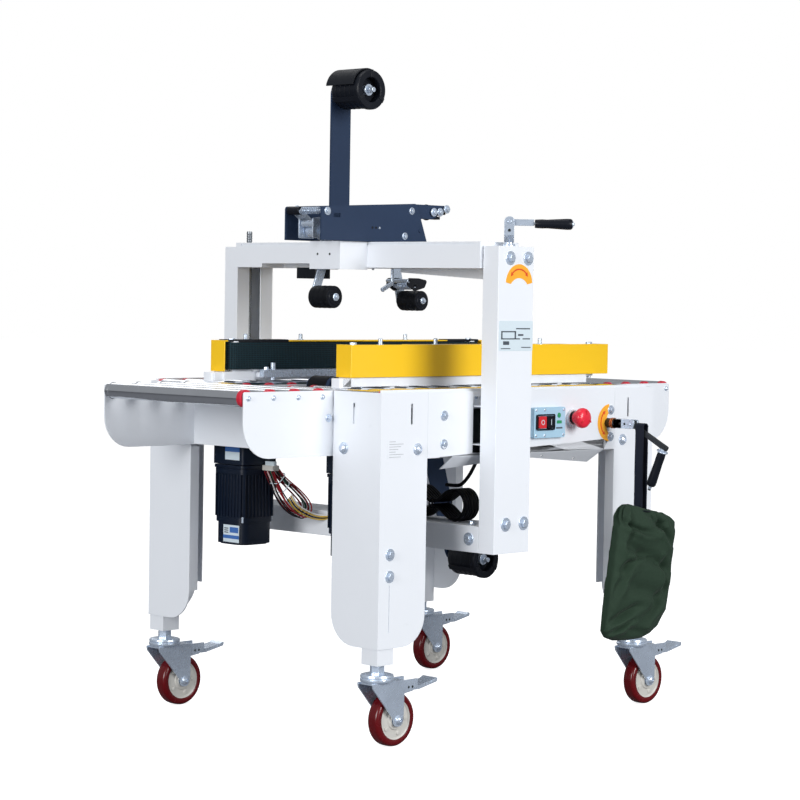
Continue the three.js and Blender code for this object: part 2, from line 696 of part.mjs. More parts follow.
/** Yellow guard: outer wall, two end walls and a lid, open towards the cartons. */
function beltCover(sign) {
  const { start, end, outer, inner, bottom, top } = BELT_UNIT;
  const wall = 2.5;
  const shell = sideBlock(sign, [start, end], [inner, outer], [bottom, top]);
  const inside = sideBlock(
    sign,
    [start + wall, end - wall],
    [inner - 1, outer - wall],
    [bottom - 1, top - wall],
  );
  const lidCuts = [
    sideBlock(sign, [start + 10, -172], [inner - 1, outer - 12], [top - 5, top + 1]),
    sideBlock(sign, [289, end - 10], [inner - 1, outer - 12], [top - 5, top + 1]),
  ];
  const studs = [-262, 192].map((x) => bar("z", [x, sign * (outer - 8)], top - 1, top + 7, 4, 8));
  return join(cut(shell, inside, ...lidCuts), ...studs);
}

/** Carriage: base beam, pulleys and backing block inside the belt, and posts to the slides. */
function carriage(sign) {
  const base = sideBlock(sign, [-341, 334], [160, 193], [656, 672.4]);
  const foot = sideBlock(sign, [-362, -341], [166, 193], [656, 671]);
  const clear = 1;
  const inner = BELT.inner + BELT.thick + clear;
  const outer = BELT.outer - BELT.thick - clear;
  const radius = (outer - inner) / 2;
  const middle = (outer + inner) / 2;
  const backing = sideBlock(sign, [-270, 322], [inner, outer], [672, 728]);
  const startPulley = BELT.start + BELT.thick + clear + radius;
  const endPulley = BELT.end - BELT.thick - clear - radius;
  const pulleys = [startPulley, endPulley].map((x) =>
    bar("z", [x, sign * middle], 676, 732, radius - 1, 14),
  );
  const pulleyPlates = [
    sideBlock(sign, [startPulley - 4, -262], [middle - 8, middle + 8], [668, 728]),
    sideBlock(sign, [314, endPulley + 4], [middle - 8, middle + 8], [668, 728]),
  ];
  const guide = sideBlock(sign, [-259, 200], [138, 143], [661, 675.6]);
  const guideTies = [-252, -40, 190].map((x) =>
    sideBlock(sign, [x - 6, x + 6], [140, 162], [661, 671]),
  );
  const posts = [
    sideBlock(sign, [-234, -221], [164, 188], [566, 657]),
    sideBlock(sign, [250, 263], [164, 188], [566, 657]),
  ];
  const nut = sideBlock(sign, [229, 265], [162, 190], [563, 599]);
  const nutBore = bar("y", [WIDTH_SHAFT.x, WIDTH_SHAFT.z], sign * 176 - 30, sign * 176 + 30, 9);
  return cut(
    join(base, foot, backing, ...pulleys, ...pulleyPlates, guide, ...guideTies, ...posts, nut),
    nutBore,
  );
}

/** Gear motor that hangs from the carriage and drives the belt through the roller bed. */
function motor(sign) {
  const { x } = MOTOR;
  const y = sign * MOTOR.y;
  const squareBody = (half, corner, zs) =>
    plate(
      "z",
      [
        [x - half, y - half, corner],
        [x + half, y - half, corner],
        [x + half, y + half, corner],
        [x - half, y + half, corner],
      ],
      zs,
      2,
    );
  const gearbox = squareBody(45, 5, [490, 566]);
  const frame = squareBody(41, 14, [384, 491]);
  const fins = [408, 434, 460].map((z) => squareBody(43.5, 14, [z, z + 8]));
  const endCover = squareBody(42, 18, [333, 385]);
  const boss = bar("z", [x, y], 565, 584, 20);
  const shaft = bar("z", [x, y], 580, 655.5, 8, 10);
  return join(gearbox, frame, ...fins, endCover, boss, shaft);
}

for (const [side, sign] of SIDES) {
  add(`belt_${side}`, belt(sign), beltRubber());
  add(`belt_cover_${side}`, beltCover(sign), yellowPaint());
  add(`carriage_${side}`, carriage(sign), whitePaint());
  add(`motor_${side}`, motor(sign), motorPaint());
}

// ---------------------------------------------------------------- upper taping head
/** Two side plates on cross rods, the reel arm and the tape-tension bracket. */
function headFrame() {
  const { plateY, plateThick, left, right, bottom } = HEAD;
  const side = [
    [left, bottom],
    [right, bottom, 2],
    [-14, 976, 6],
    [-28, 1009, 5],
    [left, 995, 5],
  ];
  const near = plate("y", side, [-plateY - plateThick, -plateY], 2);
  const far = plate("y", side, [plateY, plateY + plateThick], 2);
  const rods = [
    [-42, 994, 5],
    [-61, 944, 5],
  ].map(([x, z, r]) => bar("y", [x, z], -plateY - plateThick - 2, plateY + plateThick + 2, r, 8));
  const pinEnds = [-plateY - plateThick - 2, plateY + plateThick + 2];
  const pins = [FRONT_PIVOT, REAR_PIVOT].map(({ x, z }) => bar("y", [x, z], ...pinEnds, 4, 8));
  const armOutline = [
    [REEL.x - 26, 962],
    [REEL.x + 26, 962],
    [REEL.x + 26, 1246, 24],
    [REEL.x - 26, 1246, 24],
  ];
  const arm = plate("y", armOutline, [plateY - 4, plateY + 0.5], 3);
  const axle = bar("y", [REEL.x, REEL.z], -34, plateY - 3, 5, 8);
  const bracket = plate(
    "y",
    [
      [-30, 980],
      [22, 980, 8],
      [60, 1000, 3],
      [62, 1008, 3],
      [-30, 1008],
    ],
    [-plateY - 0.5, -plateY + 4],
    2,
  );
  const guide = bar("y", [22, 994], -plateY + 3, 30, 12, 10);
  const slot = block([-256, -238], [-plateY - 6, -plateY + 2], [975, 983]);
  const whole = join(near, far, ...rods, ...pins, arm, axle, bracket, guide);
  return cut(whole, slot);
}

/** Tape reel core: drum with an end ring, a deep bolt recess and a through bore. */
function reelHub({ x, z }) {
  const { radius, ringRadius, holeRadius } = REEL;
  const profile = [
    [6, 40],
    [radius - 6, 40],
    [radius - 2, 34],
    [radius - 2, -28],
    [ringRadius, -28],
    [ringRadius, -40],
    [holeRadius, -40],
    [holeRadius, -24],
    [6, -24],
  ];
  return wheel(profile, [x, 0, z], 20);
}

/** Flat strap with round-ish ends that follows a line of points in the x,z plane. */
function strap(points, width, ys) {
  const half = width / 2;
  const legs = points.slice(1).map((to, i) => {
    const from = points[i];
    const along = new THREE.Vector2(to.x - from.x, to.z - from.z).normalize();
    const across = new THREE.Vector2(-along.y, along.x).multiplyScalar(half);
    const over = along.clone().multiplyScalar(half);
    const corner = 5;
    return plate(
      "y",
      [
        [from.x - over.x - across.x, from.z - over.y - across.y, corner],
        [to.x + over.x - across.x, to.z + over.y - across.y, corner],
        [to.x + over.x + across.x, to.z + over.y + across.y, corner],
        [from.x - over.x + across.x, from.z - over.y + across.y, corner],
      ],
      ys,
      2,
    );
  });
  return join(...legs);
}

/** Arm that swings a tape roller: a bent side plate from the pivot to the roller's axle. */
function rollerArm(points, width) {
  const pivot = points[0];
  const rollerAxis = points[points.length - 1];
  const { y, thick } = ARM_PLATE;
  const flat = strap(points, width, [y, y + thick]);
  const axle = bar("y", [rollerAxis.x, rollerAxis.z], -31, y + 1, 4, 8);
  const bore = bar("y", [pivot.x, pivot.z], y - 5, y + thick + 5, 4.6, 10);
  return cut(join(flat, axle), bore);
}

/** Rubber tape roller with a bore for its axle. */
function tapeRoller({ x, z, radius, halfWidth }) {
  const profile = [
    [4.6, -halfWidth],
    [radius - 2, -halfWidth],
    [radius, -halfWidth + 2],
    [radius, halfWidth - 2],
    [radius - 2, halfWidth],
    [4.6, halfWidth],
  ];
  return wheel(profile, [x, 0, z], 18);
}

add("head_frame", headFrame(), navyPaint());
add("reel_hub", reelHub(REEL), blackPlastic());
add("front_roller_arm", rollerArm([FRONT_PIVOT, FRONT_ELBOW, FRONT_ROLLER], 20), zincSteel());
add("front_tape_roller", tapeRoller(FRONT_ROLLER), blackRubber());
add("rear_roller_arm", rollerArm([REAR_PIVOT, REAR_ROLLER], 24), zincSteel());
add("rear_tape_roller", tapeRoller(REAR_ROLLER), blackRubber());

// ---------------------------------------------------------------- lower taping head
/** Lower head under the bed: side plates, rods, two upward roller arms and the slanted reel arm. */
function lowerHeadFrame() {
  const { plateY, plateThick } = HEAD;
  const side = [
    [-288, 560],
    [132, 560, 10],
    [132, 616, 6],
    [-288, 616, 6],
  ];
  const near = plate("y", side, [-plateY - plateThick, -plateY], 2);
  const far = plate("y", side, [plateY, plateY + plateThick], 2);
  const rods = [
    [-272, 590, 5],
    [-110, 590, 5],
    [110, 590, 5],
  ].map(([x, z, r]) => bar("y", [x, z], -plateY - plateThick - 1.5, plateY + plateThick + 1.5, r, 8));
  const rollers = [
    [FRONT_ROLLER.x, 648],
    [REAR_ROLLER.x, 648],
  ];
  const arms = rollers.flatMap(([x, z]) => [
    block([x - 12, x + 12], [-33.5, -30], [585, z + 8]),
    bar("y", [x, z], -34, 28, 20, 14),
    bar("y", [x, 592], -plateY - 1, plateY + 1, 5, 8),
  ]);
  const slant = [
    [70, 606],
    [LOWER_REEL.x - 25, LOWER_REEL.z - 8, 20],
    [LOWER_REEL.x + 24, LOWER_REEL.z - 16, 20],
    [126, 606],
  ];
  const reelArm = plate("y", slant, [plateY - 4, plateY + 0.5], 3);
  const axle = bar("y", [LOWER_REEL.x, LOWER_REEL.z], -34, plateY - 3, 5, 8);
  return join(near, far, ...rods, ...arms, reelArm, axle);
}

add("lower_head", lowerHeadFrame(), navyPaint());
add("lower_reel_hub", reelHub(LOWER_REEL), blackPlastic());

// ---------------------------------------------------------------- controls
const PANEL_FACE = -BODY.halfWidth;
const BUTTON = { z0: 576, z1: 599, stand: 3, travel: 3 };
const STOP_XS = [23.5, 45.5];
const START_XS = [48, 70];
const GLAND = { y: -295, z: 570, end: 2 };

/** Switch box set through the near panel, with two button pockets and the cord gland behind. */
function switchBox() {
  const front = PANEL_FACE - SWITCH.depth;
  const box = plate(
    "y",
    [
      [SWITCH.x0, SWITCH.z0, 4],
      [SWITCH.x1, SWITCH.z0, 4],
      [SWITCH.x1, SWITCH.z1, 4],
      [SWITCH.x0, SWITCH.z1, 4],
    ],
    [front, PANEL_FACE - GAP],
    2,
  );
  const rim = block(
    [STOP_XS[0] - 3, START_XS[1] + 3],
    [front - 3, front + 1],
    [BUTTON.z0 - 4, BUTTON.z1 + 4],
  );
  const inner = block(
    [SWITCH.x0 + 7, SWITCH.x1 - 7],
    [PANEL_FACE - 1, SWITCH.back],
    [SWITCH.z0 + 6, SWITCH.z1 - 6],
  );
  const gland = bar("x", [GLAND.y, GLAND.z], GLAND.end, SWITCH.x0 + 8, 8, 10);
  const leadHole = bar("x", [GLAND.y, GLAND.z], GLAND.end - 1, GLAND.end + 6, 5, 8);
  const pockets = [STOP_XS, START_XS].map(([x0, x1]) =>
    block([x0 - 0.6, x1 + 0.6], [front - 10, PANEL_FACE - 2], [BUTTON.z0 - 0.6, BUTTON.z1 + 0.6]),
  );
  return cut(join(box, rim, inner, gland), ...pockets, leadHole);
}

/** Push button that stands out of the switch box. */
function button([x0, x1]) {
  const front = PANEL_FACE - SWITCH.depth - 3 - BUTTON.stand;
  return block([x0, x1], [front, PANEL_FACE - 2 - BUTTON.travel - 0.5], [BUTTON.z0, BUTTON.z1]);
}

/** Mushroom head of the emergency stop on the neck that runs through its collar. */
function emergencyStop() {
  const { x, z, neckRadius } = ESTOP;
  const profile = [
    [0, -362],
    [15, -361],
    [19, -357],
    [20, -351],
    [17, -345],
    [neckRadius, -344],
    [neckRadius, -300],
    [0, -300],
  ];
  return wheel(profile, [x, 0, z], 16);
}

add("switch_box", switchBox(), switchPlastic());
add("stop_button", button(STOP_XS), redPlastic());
add("start_button", button(START_XS), blackPlastic());
add("emergency_stop", emergencyStop(), redPlastic());

// ---------------------------------------------------------------- accessory bag
/** Tool bag with its webbing loop over the width crank's arm. */
function toolBag() {
  const { x, y, width, depth, bottom, top } = BAG;
  const w = width / 2;
  const d = depth / 2;
  const front = [
    [x - w, bottom + 34, 20],
    [x - w * 0.72, bottom, 16],
    [x + w * 0.36, bottom + 2, 16],
    [x + w * 0.78, bottom + 44, 24],
    [x + w, top - 62, 20],
    [x + w * 0.8, top - 24, 12],
    [x + 10, top, 4],
    [x - 10, top, 4],
    [x - w * 0.6, top - 12, 12],
    [x - w * 0.88, top - 56, 18],
  ];
  const side = [
    [y - d, bottom + 12, 12],
    [y + d, bottom + 12, 12],
    [y + d, top - 60, 12],
    [y + 5, top + 2],
    [y - 5, top + 2],
    [y - d, top - 60, 12],
  ];
  const low = [[y - d, bottom - 1, 6], [y + d, bottom - 1, 6], ...side.slice(2)];
  const body = plate("y", front, [y - d - 1, y + d + 1], 3).intersect(
    plate("x", low, [x - w - 1, x + w + 1], 3),
  );
  const strapY = [-421, -401];
  const strapTop = 584.5;
  const webbing = 2.2;
  const loop = cut(
    block([x - 8, x + 8], strapY, [top - 12, strapTop]),
    block([x - 5.6, x + 5.6], [strapY[0] - 1, strapY[1] + 1], [top + 10, strapTop - webbing]),
  );
  return join(body, loop);
}

add("tool_bag", toolBag(), greenCloth());

// ---------------------------------------------------------------- mains cord
const HANK_FLOOR = COLUMN.bottom + CROSSBEAM_HEIGHT + GAP;

/** Tied hank of the cord, one closed ring for all its turns, standing on the crossbeam. */
function cordHank() {
  const { diameter, turns, turnPitch, hankLength, hankHeight } = CORD;
  const half = (turns * turnPitch) / 2;
  const stadium = (inset) => {
    const y0 = HANK.y - hankLength / 2 + inset;
    const y1 = HANK.y + hankLength / 2 - inset;
    const z0 = HANK_FLOOR + inset;
    const z1 = HANK_FLOOR + hankHeight - inset;
    const radius = (z1 - z0) / 2 - 0.2;
    return [
      [y0, z0, radius],
      [y1, z0, radius],
      [y1, z1, radius],
      [y0, z1, radius],
    ];
  };
  const outside = plate("x", stadium(0), [HANK.x - half, HANK.x + half], 5);
  const hole = plate("x", stadium(diameter), [HANK.x - half - 1, HANK.x + half + 1], 5);
  return cut(outside, hole);
}

/** Lead from the gland down to the hank, swept along its route. */
function cordLead() {
  const top = HANK_FLOOR + CORD.hankHeight;
  const r = CORD.diameter / 2;
  const route = [
    [GLAND.end + 4, GLAND.y, GLAND.z],
    [-20, GLAND.y, GLAND.z],
    [-48, -294, 566],
    [-72, -291, 551],
    [-87, -286, 528],
    [-95, -279, 503],
    [-98, -268, 484],
    [HANK.x, -252, top + r + 4],
    [HANK.x, -236, top + r + GAP],
    [HANK.x, -212, top + r + GAP],
  ].map((p) => new THREE.Vector3(...p));
  const curve = new THREE.CatmullRomCurve3(route, false, "centripetal");
  const circle = new THREE.Shape();
  const sides = 8;
  for (let i = 0; i < sides; i++) {
    const angle = (i * 2 * Math.PI) / sides;
    const [u, v] = [r * Math.cos(angle), r * Math.sin(angle)];
    if (i === 0) circle.moveTo(u, v);
    else circle.lineTo(u, v);
  }
  circle.closePath();
  return solid(new THREE.ExtrudeGeometry(circle, { steps: 20, extrudePath: curve, curveSegments: 1 }));
}

/** Mains plug that lies on the crossbeam beside the hank. */
function cordPlug() {
  const x = HANK.x + 10;
  const floor = HANK_FLOOR;
  const end = -72;
  const body = plate(
    "z",
    [
      [x - 19, end - 26, 8],
      [x + 19, end - 26, 8],
      [x + 19, end, 5],
      [x - 19, end, 5],
    ],
    [floor, floor + 26],
    2,
  );
  const relief = bar("y", [x, floor + 13], end - 34, end - 25, 5.5, 10, 8);
  const pins = [
    [-11, 8],
    [11, 8],
    [0, 19],
  ].map(([dx, dz]) => {
    const xs = [x + dx - 3, x + dx + 3];
    return block(xs, [end - 1, end + 17], [floor + dz - 2, floor + dz + 2]);
  });
  return join(body, relief, ...pins);
}

add("cord_hank", cordHank(), blackRubber());
add("cord_lead", cordLead(), blackRubber());
add("cord_plug", cordPlug(), blackPlastic());

// The frame's origin is on the floor under the middle of the machine's outer box.
const extent = new THREE.Box3().setFromObject(root);
const middle = extent.getCenter(new THREE.Vector3());
root.position.set(-middle.x, -middle.y, 0);

export default root;
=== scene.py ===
"""Looks of the side-belt carton sealer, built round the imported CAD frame."""
import math
import random

import bmesh
import bpy
from mathutils import Matrix, Vector, noise


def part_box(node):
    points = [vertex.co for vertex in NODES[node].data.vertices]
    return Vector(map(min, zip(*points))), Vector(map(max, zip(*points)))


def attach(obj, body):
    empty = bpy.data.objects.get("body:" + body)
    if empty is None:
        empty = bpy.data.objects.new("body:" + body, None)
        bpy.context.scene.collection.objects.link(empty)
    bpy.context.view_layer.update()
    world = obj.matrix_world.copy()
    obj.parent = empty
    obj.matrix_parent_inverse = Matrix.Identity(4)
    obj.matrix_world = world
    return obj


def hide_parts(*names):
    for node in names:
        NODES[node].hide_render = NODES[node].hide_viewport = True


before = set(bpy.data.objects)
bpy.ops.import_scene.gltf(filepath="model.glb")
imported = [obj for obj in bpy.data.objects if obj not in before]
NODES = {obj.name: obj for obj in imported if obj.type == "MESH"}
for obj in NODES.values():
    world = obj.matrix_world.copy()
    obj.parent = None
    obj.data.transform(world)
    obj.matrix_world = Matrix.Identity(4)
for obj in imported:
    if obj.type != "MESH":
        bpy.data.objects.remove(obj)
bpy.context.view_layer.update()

MM = 0.001


def middle(node):
    low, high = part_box(node)
    return (low + high) / 2


# The machine's own middle, on the floor. Shapes below are drawn in millimetres from here.
CENTRE = Vector((middle("side_panel_far").x, middle("crossbeam").y, 0))


def at(x, y, z):
    """Point in metres in the row frame, from millimetres measured from the machine's middle."""
    return CENTRE + Vector((x, y, z)) * MM


# ---- camera, floor and light
CAMERA_AT = (-3502.4, -3413.7, 824.1)
CAMERA_YAW, CAMERA_DOWN, CAMERA_ROLL = -45.623, 2.422, 0.946
CAMERA_LENS = 109.6


def make_camera():
    data = bpy.data.cameras.new("camera")
    data.lens = CAMERA_LENS
    data.sensor_width = 36
    data.clip_end = 60
    camera = bpy.data.objects.new("camera", data)
    bpy.context.scene.collection.objects.link(camera)
    turn = (
        Matrix.Rotation(math.radians(CAMERA_YAW), 4, "Z")
        @ Matrix.Rotation(math.radians(90 - CAMERA_DOWN), 4, "X")
        @ Matrix.Rotation(math.radians(CAMERA_ROLL), 4, "Z")
    )
    camera.matrix_world = Matrix.Translation(at(*CAMERA_AT)) @ turn
    bpy.context.scene.camera = camera


def make_light(name, spot, aim, size, watts, tint=(1, 1, 1)):
    data = bpy.data.lights.new(name, "AREA")
    data.shape = "DISK"
    data.size = size
    data.energy = watts
    data.color = tint
    lamp = bpy.data.objects.new(name, data)
    bpy.context.scene.collection.objects.link(lamp)
    lamp.location = spot
    lamp.rotation_euler = (Vector(aim) - Vector(spot)).to_track_quat("-Z", "Y").to_euler()


def seen_mix(tree, plain, seen, end):
    """Shows one shader to the camera, and another to the light that bounces."""
    choice = tree.nodes.new("ShaderNodeMixShader")
    tree.links.new(tree.nodes.new("ShaderNodeLightPath").outputs["Is Camera Ray"], choice.inputs["Fac"])
    tree.links.new(plain.outputs[0], choice.inputs[1])
    tree.links.new(seen.outputs[0], choice.inputs[2])
    tree.links.new(choice.outputs["Shader"], tree.nodes[end].inputs["Surface"])


def make_studio():
    world = bpy.data.worlds.new("studio")
    world.use_nodes = True
    tree = world.node_tree
    soft = tree.nodes["Background"]
    soft.inputs["Color"].default_value = (0.93, 0.96, 1, 1)
    soft.inputs["Strength"].default_value = 0.34
    white = tree.nodes.new("ShaderNodeBackground")
    white.inputs["Color"].default_value = (1, 1, 1, 1)
    seen_mix(tree, soft, white, "World Output")
    bpy.context.scene.world = world
    bpy.context.scene.view_settings.view_transform = "Standard"

    make_light("key", (0.2, -5.1, 2.0), (0, 0, 0.55), 2.6, 205)
    make_light("fill", (-5.2, -0.9, 1.7), (0, 0, 0.55), 2.6, 165)
    make_light("top", (-0.4, 0.4, 4.2), (0, 0, 0.6), 2.2, 28)
    make_light("rim", (1.5, 4.2, 2.9), (0, 0, 0.7), 2.4, 22)

    mesh = bpy.data.meshes.new("floor")
    far = 30
    mesh.from_pydata([(-far, -far, 0), (far, -far, 0), (far, far, 0), (-far, far, 0)], [], [(0, 1, 2, 3)])
    floor = bpy.data.objects.new("floor", mesh)
    bpy.context.scene.collection.objects.link(floor)
    material = bpy.data.materials.new("floor")
    material.use_nodes = True
    tree = material.node_tree
    pale = tree.nodes["Principled BSDF"]
    pale.inputs["Base Color"].default_value = (0.9, 0.9, 0.9, 1)
    pale.inputs["Roughness"].default_value = 0.7
    pale.inputs["Emission Color"].default_value = (1, 1, 1, 1)
    pale.inputs["Emission Strength"].default_value = 0.75
    # The floor throws little light back, so the undersides keep their shade.
    dull = tree.nodes.new("ShaderNodeBsdfDiffuse")
    dull.inputs["Color"].default_value = (0.2, 0.205, 0.22, 1)
    seen_mix(tree, dull, pale, "Material Output")
    mesh.materials.append(material)


make_camera()
make_studio()


# ---- materials
class Shader:
    """Small helper round one Principled material and its nodes."""

    def __init__(self, name, rough, metal=0.0):
        self.material = bpy.data.materials.new(name)
        self.material.use_nodes = True
        self.tree = self.material.node_tree
        self.base = self.tree.nodes["Principled BSDF"]
        self.base.inputs["Roughness"].default_value = rough
        self.base.inputs["Metallic"].default_value = metal
        self.place = self.tree.nodes.new("ShaderNodeTexCoord").outputs["Object"]
        self.last_bump = None

    def node(self, kind, **settings):
        made = self.tree.nodes.new(kind)
        for key, value in settings.items():
            if hasattr(made, key):
                setattr(made, key, value)
            else:
                made.inputs[key.replace("_", " ")].default_value = value
        return made

    def link(self, source, target):
        self.tree.links.new(source, target)

    def noise(self, scale, detail=3.0, stretch=(1, 1, 1)):
        mapping = self.node("ShaderNodeMapping")
        mapping.inputs["Scale"].default_value = stretch
        self.link(self.place, mapping.inputs["Vector"])
        made = self.node("ShaderNodeTexNoise", Scale=scale, Detail=detail)
        self.link(mapping.outputs["Vector"], made.inputs["Vector"])
        return made.outputs["Fac"]

    def ramp(self, source, stops):
        made = self.node("ShaderNodeValToRGB")
        points = made.color_ramp.elements
        while len(points) < len(stops):
            points.new(0.5)
        for point, (where, colour) in zip(points, stops):
            point.position = where
            point.color = (*colour, 1) if len(colour) == 3 else colour
        self.link(source, made.inputs["Fac"])
        return made.outputs["Color"]

    def waves(self, pitch, operation):
        """Sine waves along x and z, joined by a math operation."""
        split = self.node("ShaderNodeSeparateXYZ")
        self.link(self.place, split.inputs["Vector"])
        both = self.node("ShaderNodeMath", operation=operation)
        for number, axis in enumerate(("X", "Z")):
            scaled = self.node("ShaderNodeMath", operation="MULTIPLY")
            scaled.inputs[1].default_value = 2 * math.pi / pitch
            self.link(split.outputs[axis], scaled.inputs[0])
            wave = self.node("ShaderNodeMath", operation="SINE")
            self.link(scaled.outputs[0], wave.inputs[0])
            self.link(wave.outputs[0], both.inputs[number])
        return both.outputs[0]

    def spread(self, source, low):
        """Map values from low to 1 onto 0 to 1."""
        made = self.node("ShaderNodeMapRange")
        made.inputs["From Min"].default_value = low
        self.link(source, made.inputs["Value"])
        return made.outputs["Result"]

    def colour(self, source):
        self.link(source, self.base.inputs["Base Color"])

    def mix(self, share, one, other):
        made = self.tree.nodes.new("ShaderNodeMix")
        made.data_type = "RGBA"
        self.link(share, made.inputs["Factor"])
        for value, socket in ((one, made.inputs["A"]), (other, made.inputs["B"])):
            if hasattr(value, "is_linked"):
                self.link(value, socket)
            else:
                socket.default_value = (*value, 1)
        # A Mix node lists a socket of each name per data type; the colour ones come last.
        return made.outputs["Result"]

    def roughness(self, source, low, high):
        made = self.node("ShaderNodeMapRange")
        made.inputs["To Min"].default_value = low
        made.inputs["To Max"].default_value = high
        self.link(source, made.inputs["Value"])
        self.link(made.outputs["Result"], self.base.inputs["Roughness"])

    def bump(self, source, depth, strength=1.0):
        made = self.node("ShaderNodeBump")
        made.inputs["Distance"].default_value = depth
        made.inputs["Strength"].default_value = strength
        self.link(source, made.inputs["Height"])
        if self.last_bump:
            self.link(self.last_bump, made.inputs["Normal"])
        self.last_bump = made.outputs["Normal"]
        self.link(self.last_bump, self.base.inputs["Normal"])


def shade(colour, factor):
    return tuple(min(1.0, c * factor) for c in colour)


def linear(red, green, blue):
    """Linear colour of an ordinary 0 to 255 screen colour."""
    return tuple(((c / 255 + 0.055) / 1.055) ** 2.4 if c > 10 else c / 3294 for c in (red, green, blue))


def powder_coat(name, colour, rough=0.42, spread=0.05, grain=0.00012, coat=0.0, metal=0.0, gloss=0.5):
    """Painted sheet: faint cloudiness, orange peel and a few rubbed spots."""
    s = Shader(name, rough, metal)
    s.base.inputs["Specular IOR Level"].default_value = gloss
    cloud = s.noise(3.5, 4)
    s_colour = s.ramp(cloud, [(0.3, shade(colour, 1 - spread)), (0.7, shade(colour, 1 + spread * 0.6))])
    rub = s.ramp(s.noise(60, 6), [(0.68, (0, 0, 0)), (0.76, (1, 1, 1))])
    s.colour(s.mix(rub, s_colour, shade(colour, 1 - spread * 1.5)))
    s.roughness(s.noise(40, 3), rough - 0.07, rough + 0.08)
    s.bump(s.noise(900, 2), grain)
    s.base.inputs["Coat Weight"].default_value = coat
    s.base.inputs["Coat Roughness"].default_value = 0.2
    return s.material


def bright_metal(name, colour, rough=0.3, brush=(1, 1, 1), depth=0.00005, spread=0.12, metal=1.0):
    """Plated or brushed metal with patchy plating and fine scratches along one direction."""
    s = Shader(name, rough, metal)
    patch = s.noise(24, 4)
    s.colour(s.ramp(patch, [(0.3, shade(colour, 1 - spread)), (0.72, shade(colour, 1 + spread * 0.4))]))
    s.roughness(s.noise(90, 4, brush), rough - 0.08, rough + 0.1)
    s.bump(s.noise(700, 3, brush), depth)
    return s.material


def moulded(name, colour, rough=0.45, grain=0.00008, spread=0.1, coat=0.0, scale=1100, gloss=0.4):
    """Plastic or rubber: fine grain, slightly uneven gloss and tone."""
    s = Shader(name, rough)
    s.base.inputs["Specular IOR Level"].default_value = gloss
    s.colour(s.ramp(s.noise(14, 4), [(0.3, shade(colour, 1 - spread)), (0.7, shade(colour, 1 + spread))]))
    s.roughness(s.noise(60, 3), rough - 0.08, rough + 0.1)
    s.bump(s.noise(scale, 2), grain)
    s.base.inputs["Coat Weight"].default_value = coat
    s.base.inputs["Coat Roughness"].default_value = 0.12
    return s.material


def belt_rubber():
    """Drive belt: dark teal-black with a fine raised square grid on its face."""
    s = Shader("belt_rubber", 0.55)
    s.base.inputs["Specular IOR Level"].default_value = 0.15
    dark, light = linear(8, 20, 26), linear(24, 50, 58)
    pitch = 0.0042
    rib = s.spread(s.waves(pitch, "MAXIMUM"), 0.2)
    s.colour(s.ramp(rib, [(0.1, dark), (0.9, light)]))
    s.bump(rib, 0.0006, 0.8)
    s.roughness(s.noise(50, 3), 0.45, 0.7)
    return s.material


def woven_cloth(name, colour, thread=0.0011, sheen=0.06):
    """Coated nylon: plain weave, soft fold marks and a dull sheen."""
    s = Shader(name, 0.72)
    s.base.inputs["Specular IOR Level"].default_value = 0.2
    lift = s.spread(s.waves(thread, "MULTIPLY"), -1)
    cloud = s.noise(9, 5)
    tone = s.ramp(cloud, [(0.3, shade(colour, 0.66)), (0.7, shade(colour, 1.2))])
    s.colour(s.mix(lift, tone, shade(colour, 1.35)))
    s.bump(lift, 0.00025, 0.7)
    s.bump(s.noise(28, 5), 0.0022, 0.55)
    s.roughness(s.noise(30, 3), 0.6, 0.82)
    s.base.inputs["Sheen Weight"].default_value = sheen
    s.base.inputs["Sheen Roughness"].default_value = 0.4
    return s.material


WHITE = powder_coat("white_powder_coat", linear(236, 240, 246), 0.4, 0.02, 0.00006)
GREY_STEEL = powder_coat("grey_steel", linear(150, 154, 162), 0.5, 0.05, 0.00006)
YELLOW = powder_coat("yellow_powder_coat", linear(250, 200, 22), 0.36, 0.03, 0.00006, 0.15)
NAVY = powder_coat("navy_texture_coat", linear(40, 56, 82), 0.5, 0.12, 0.00022, gloss=0.2)
BLACK_STEEL = powder_coat("black_steel", linear(20, 23, 30), 0.42, 0.15, 0.00015, gloss=0.25)
MOTOR_BLUE = powder_coat("motor_enamel", linear(12, 24, 42), 0.36, 0.15, 0.0002, gloss=0.3)
ZINC = bright_metal("zinc_plate", linear(208, 221, 238), 0.26, depth=0.000008, spread=0.1, metal=0.6)
BRIGHT = bright_metal("bright_plate", linear(222, 225, 230), 0.16, (1, 0.05, 1), 0.00002, 0.05)
BARE = bright_metal("bare_bar", linear(150, 155, 160), 0.38, (1, 1, 0.08), 0.00006)
DARK_BAR = bright_metal("oiled_bar", linear(66, 70, 74), 0.42, (1, 1, 0.1), 0.00006, 0.2, 0.8)
COPPER = bright_metal("copper_washer", linear(196, 120, 74), 0.34)
TYRE_RED = moulded("red_tread", linear(96, 2, 9), 0.24, 0.00003, 0.08, 0.12)
HUB_GREY = moulded("hub_nylon", linear(206, 204, 198), 0.4, 0.00004, 0.02)
CAP_RED = moulded("cap_red", linear(196, 36, 58), 0.35, 0.00004)
BLACK_PLASTIC = moulded("black_plastic", linear(14, 18, 27), 0.36, gloss=0.25)
BLACK_RUBBER = moulded("black_rubber", linear(10, 13, 19), 0.5, 0.00006, gloss=0.2)
CORD_BLACK = moulded("cord_sheath", linear(8, 9, 15), 0.42, 0.00004, gloss=0.2)
STOP_RED = moulded("stop_red", linear(232, 40, 62), 0.3, 0.00003, 0.05, 0.3)
BUTTON_RED = moulded("button_red", linear(214, 44, 52), 0.3, 0.00003, 0.05, 0.2)
PANEL_BLUE = moulded("panel_blue", linear(172, 208, 230), 0.42, 0.00004, 0.03)
GREEN_MARK = moulded("green_mark", linear(38, 150, 96), 0.4)
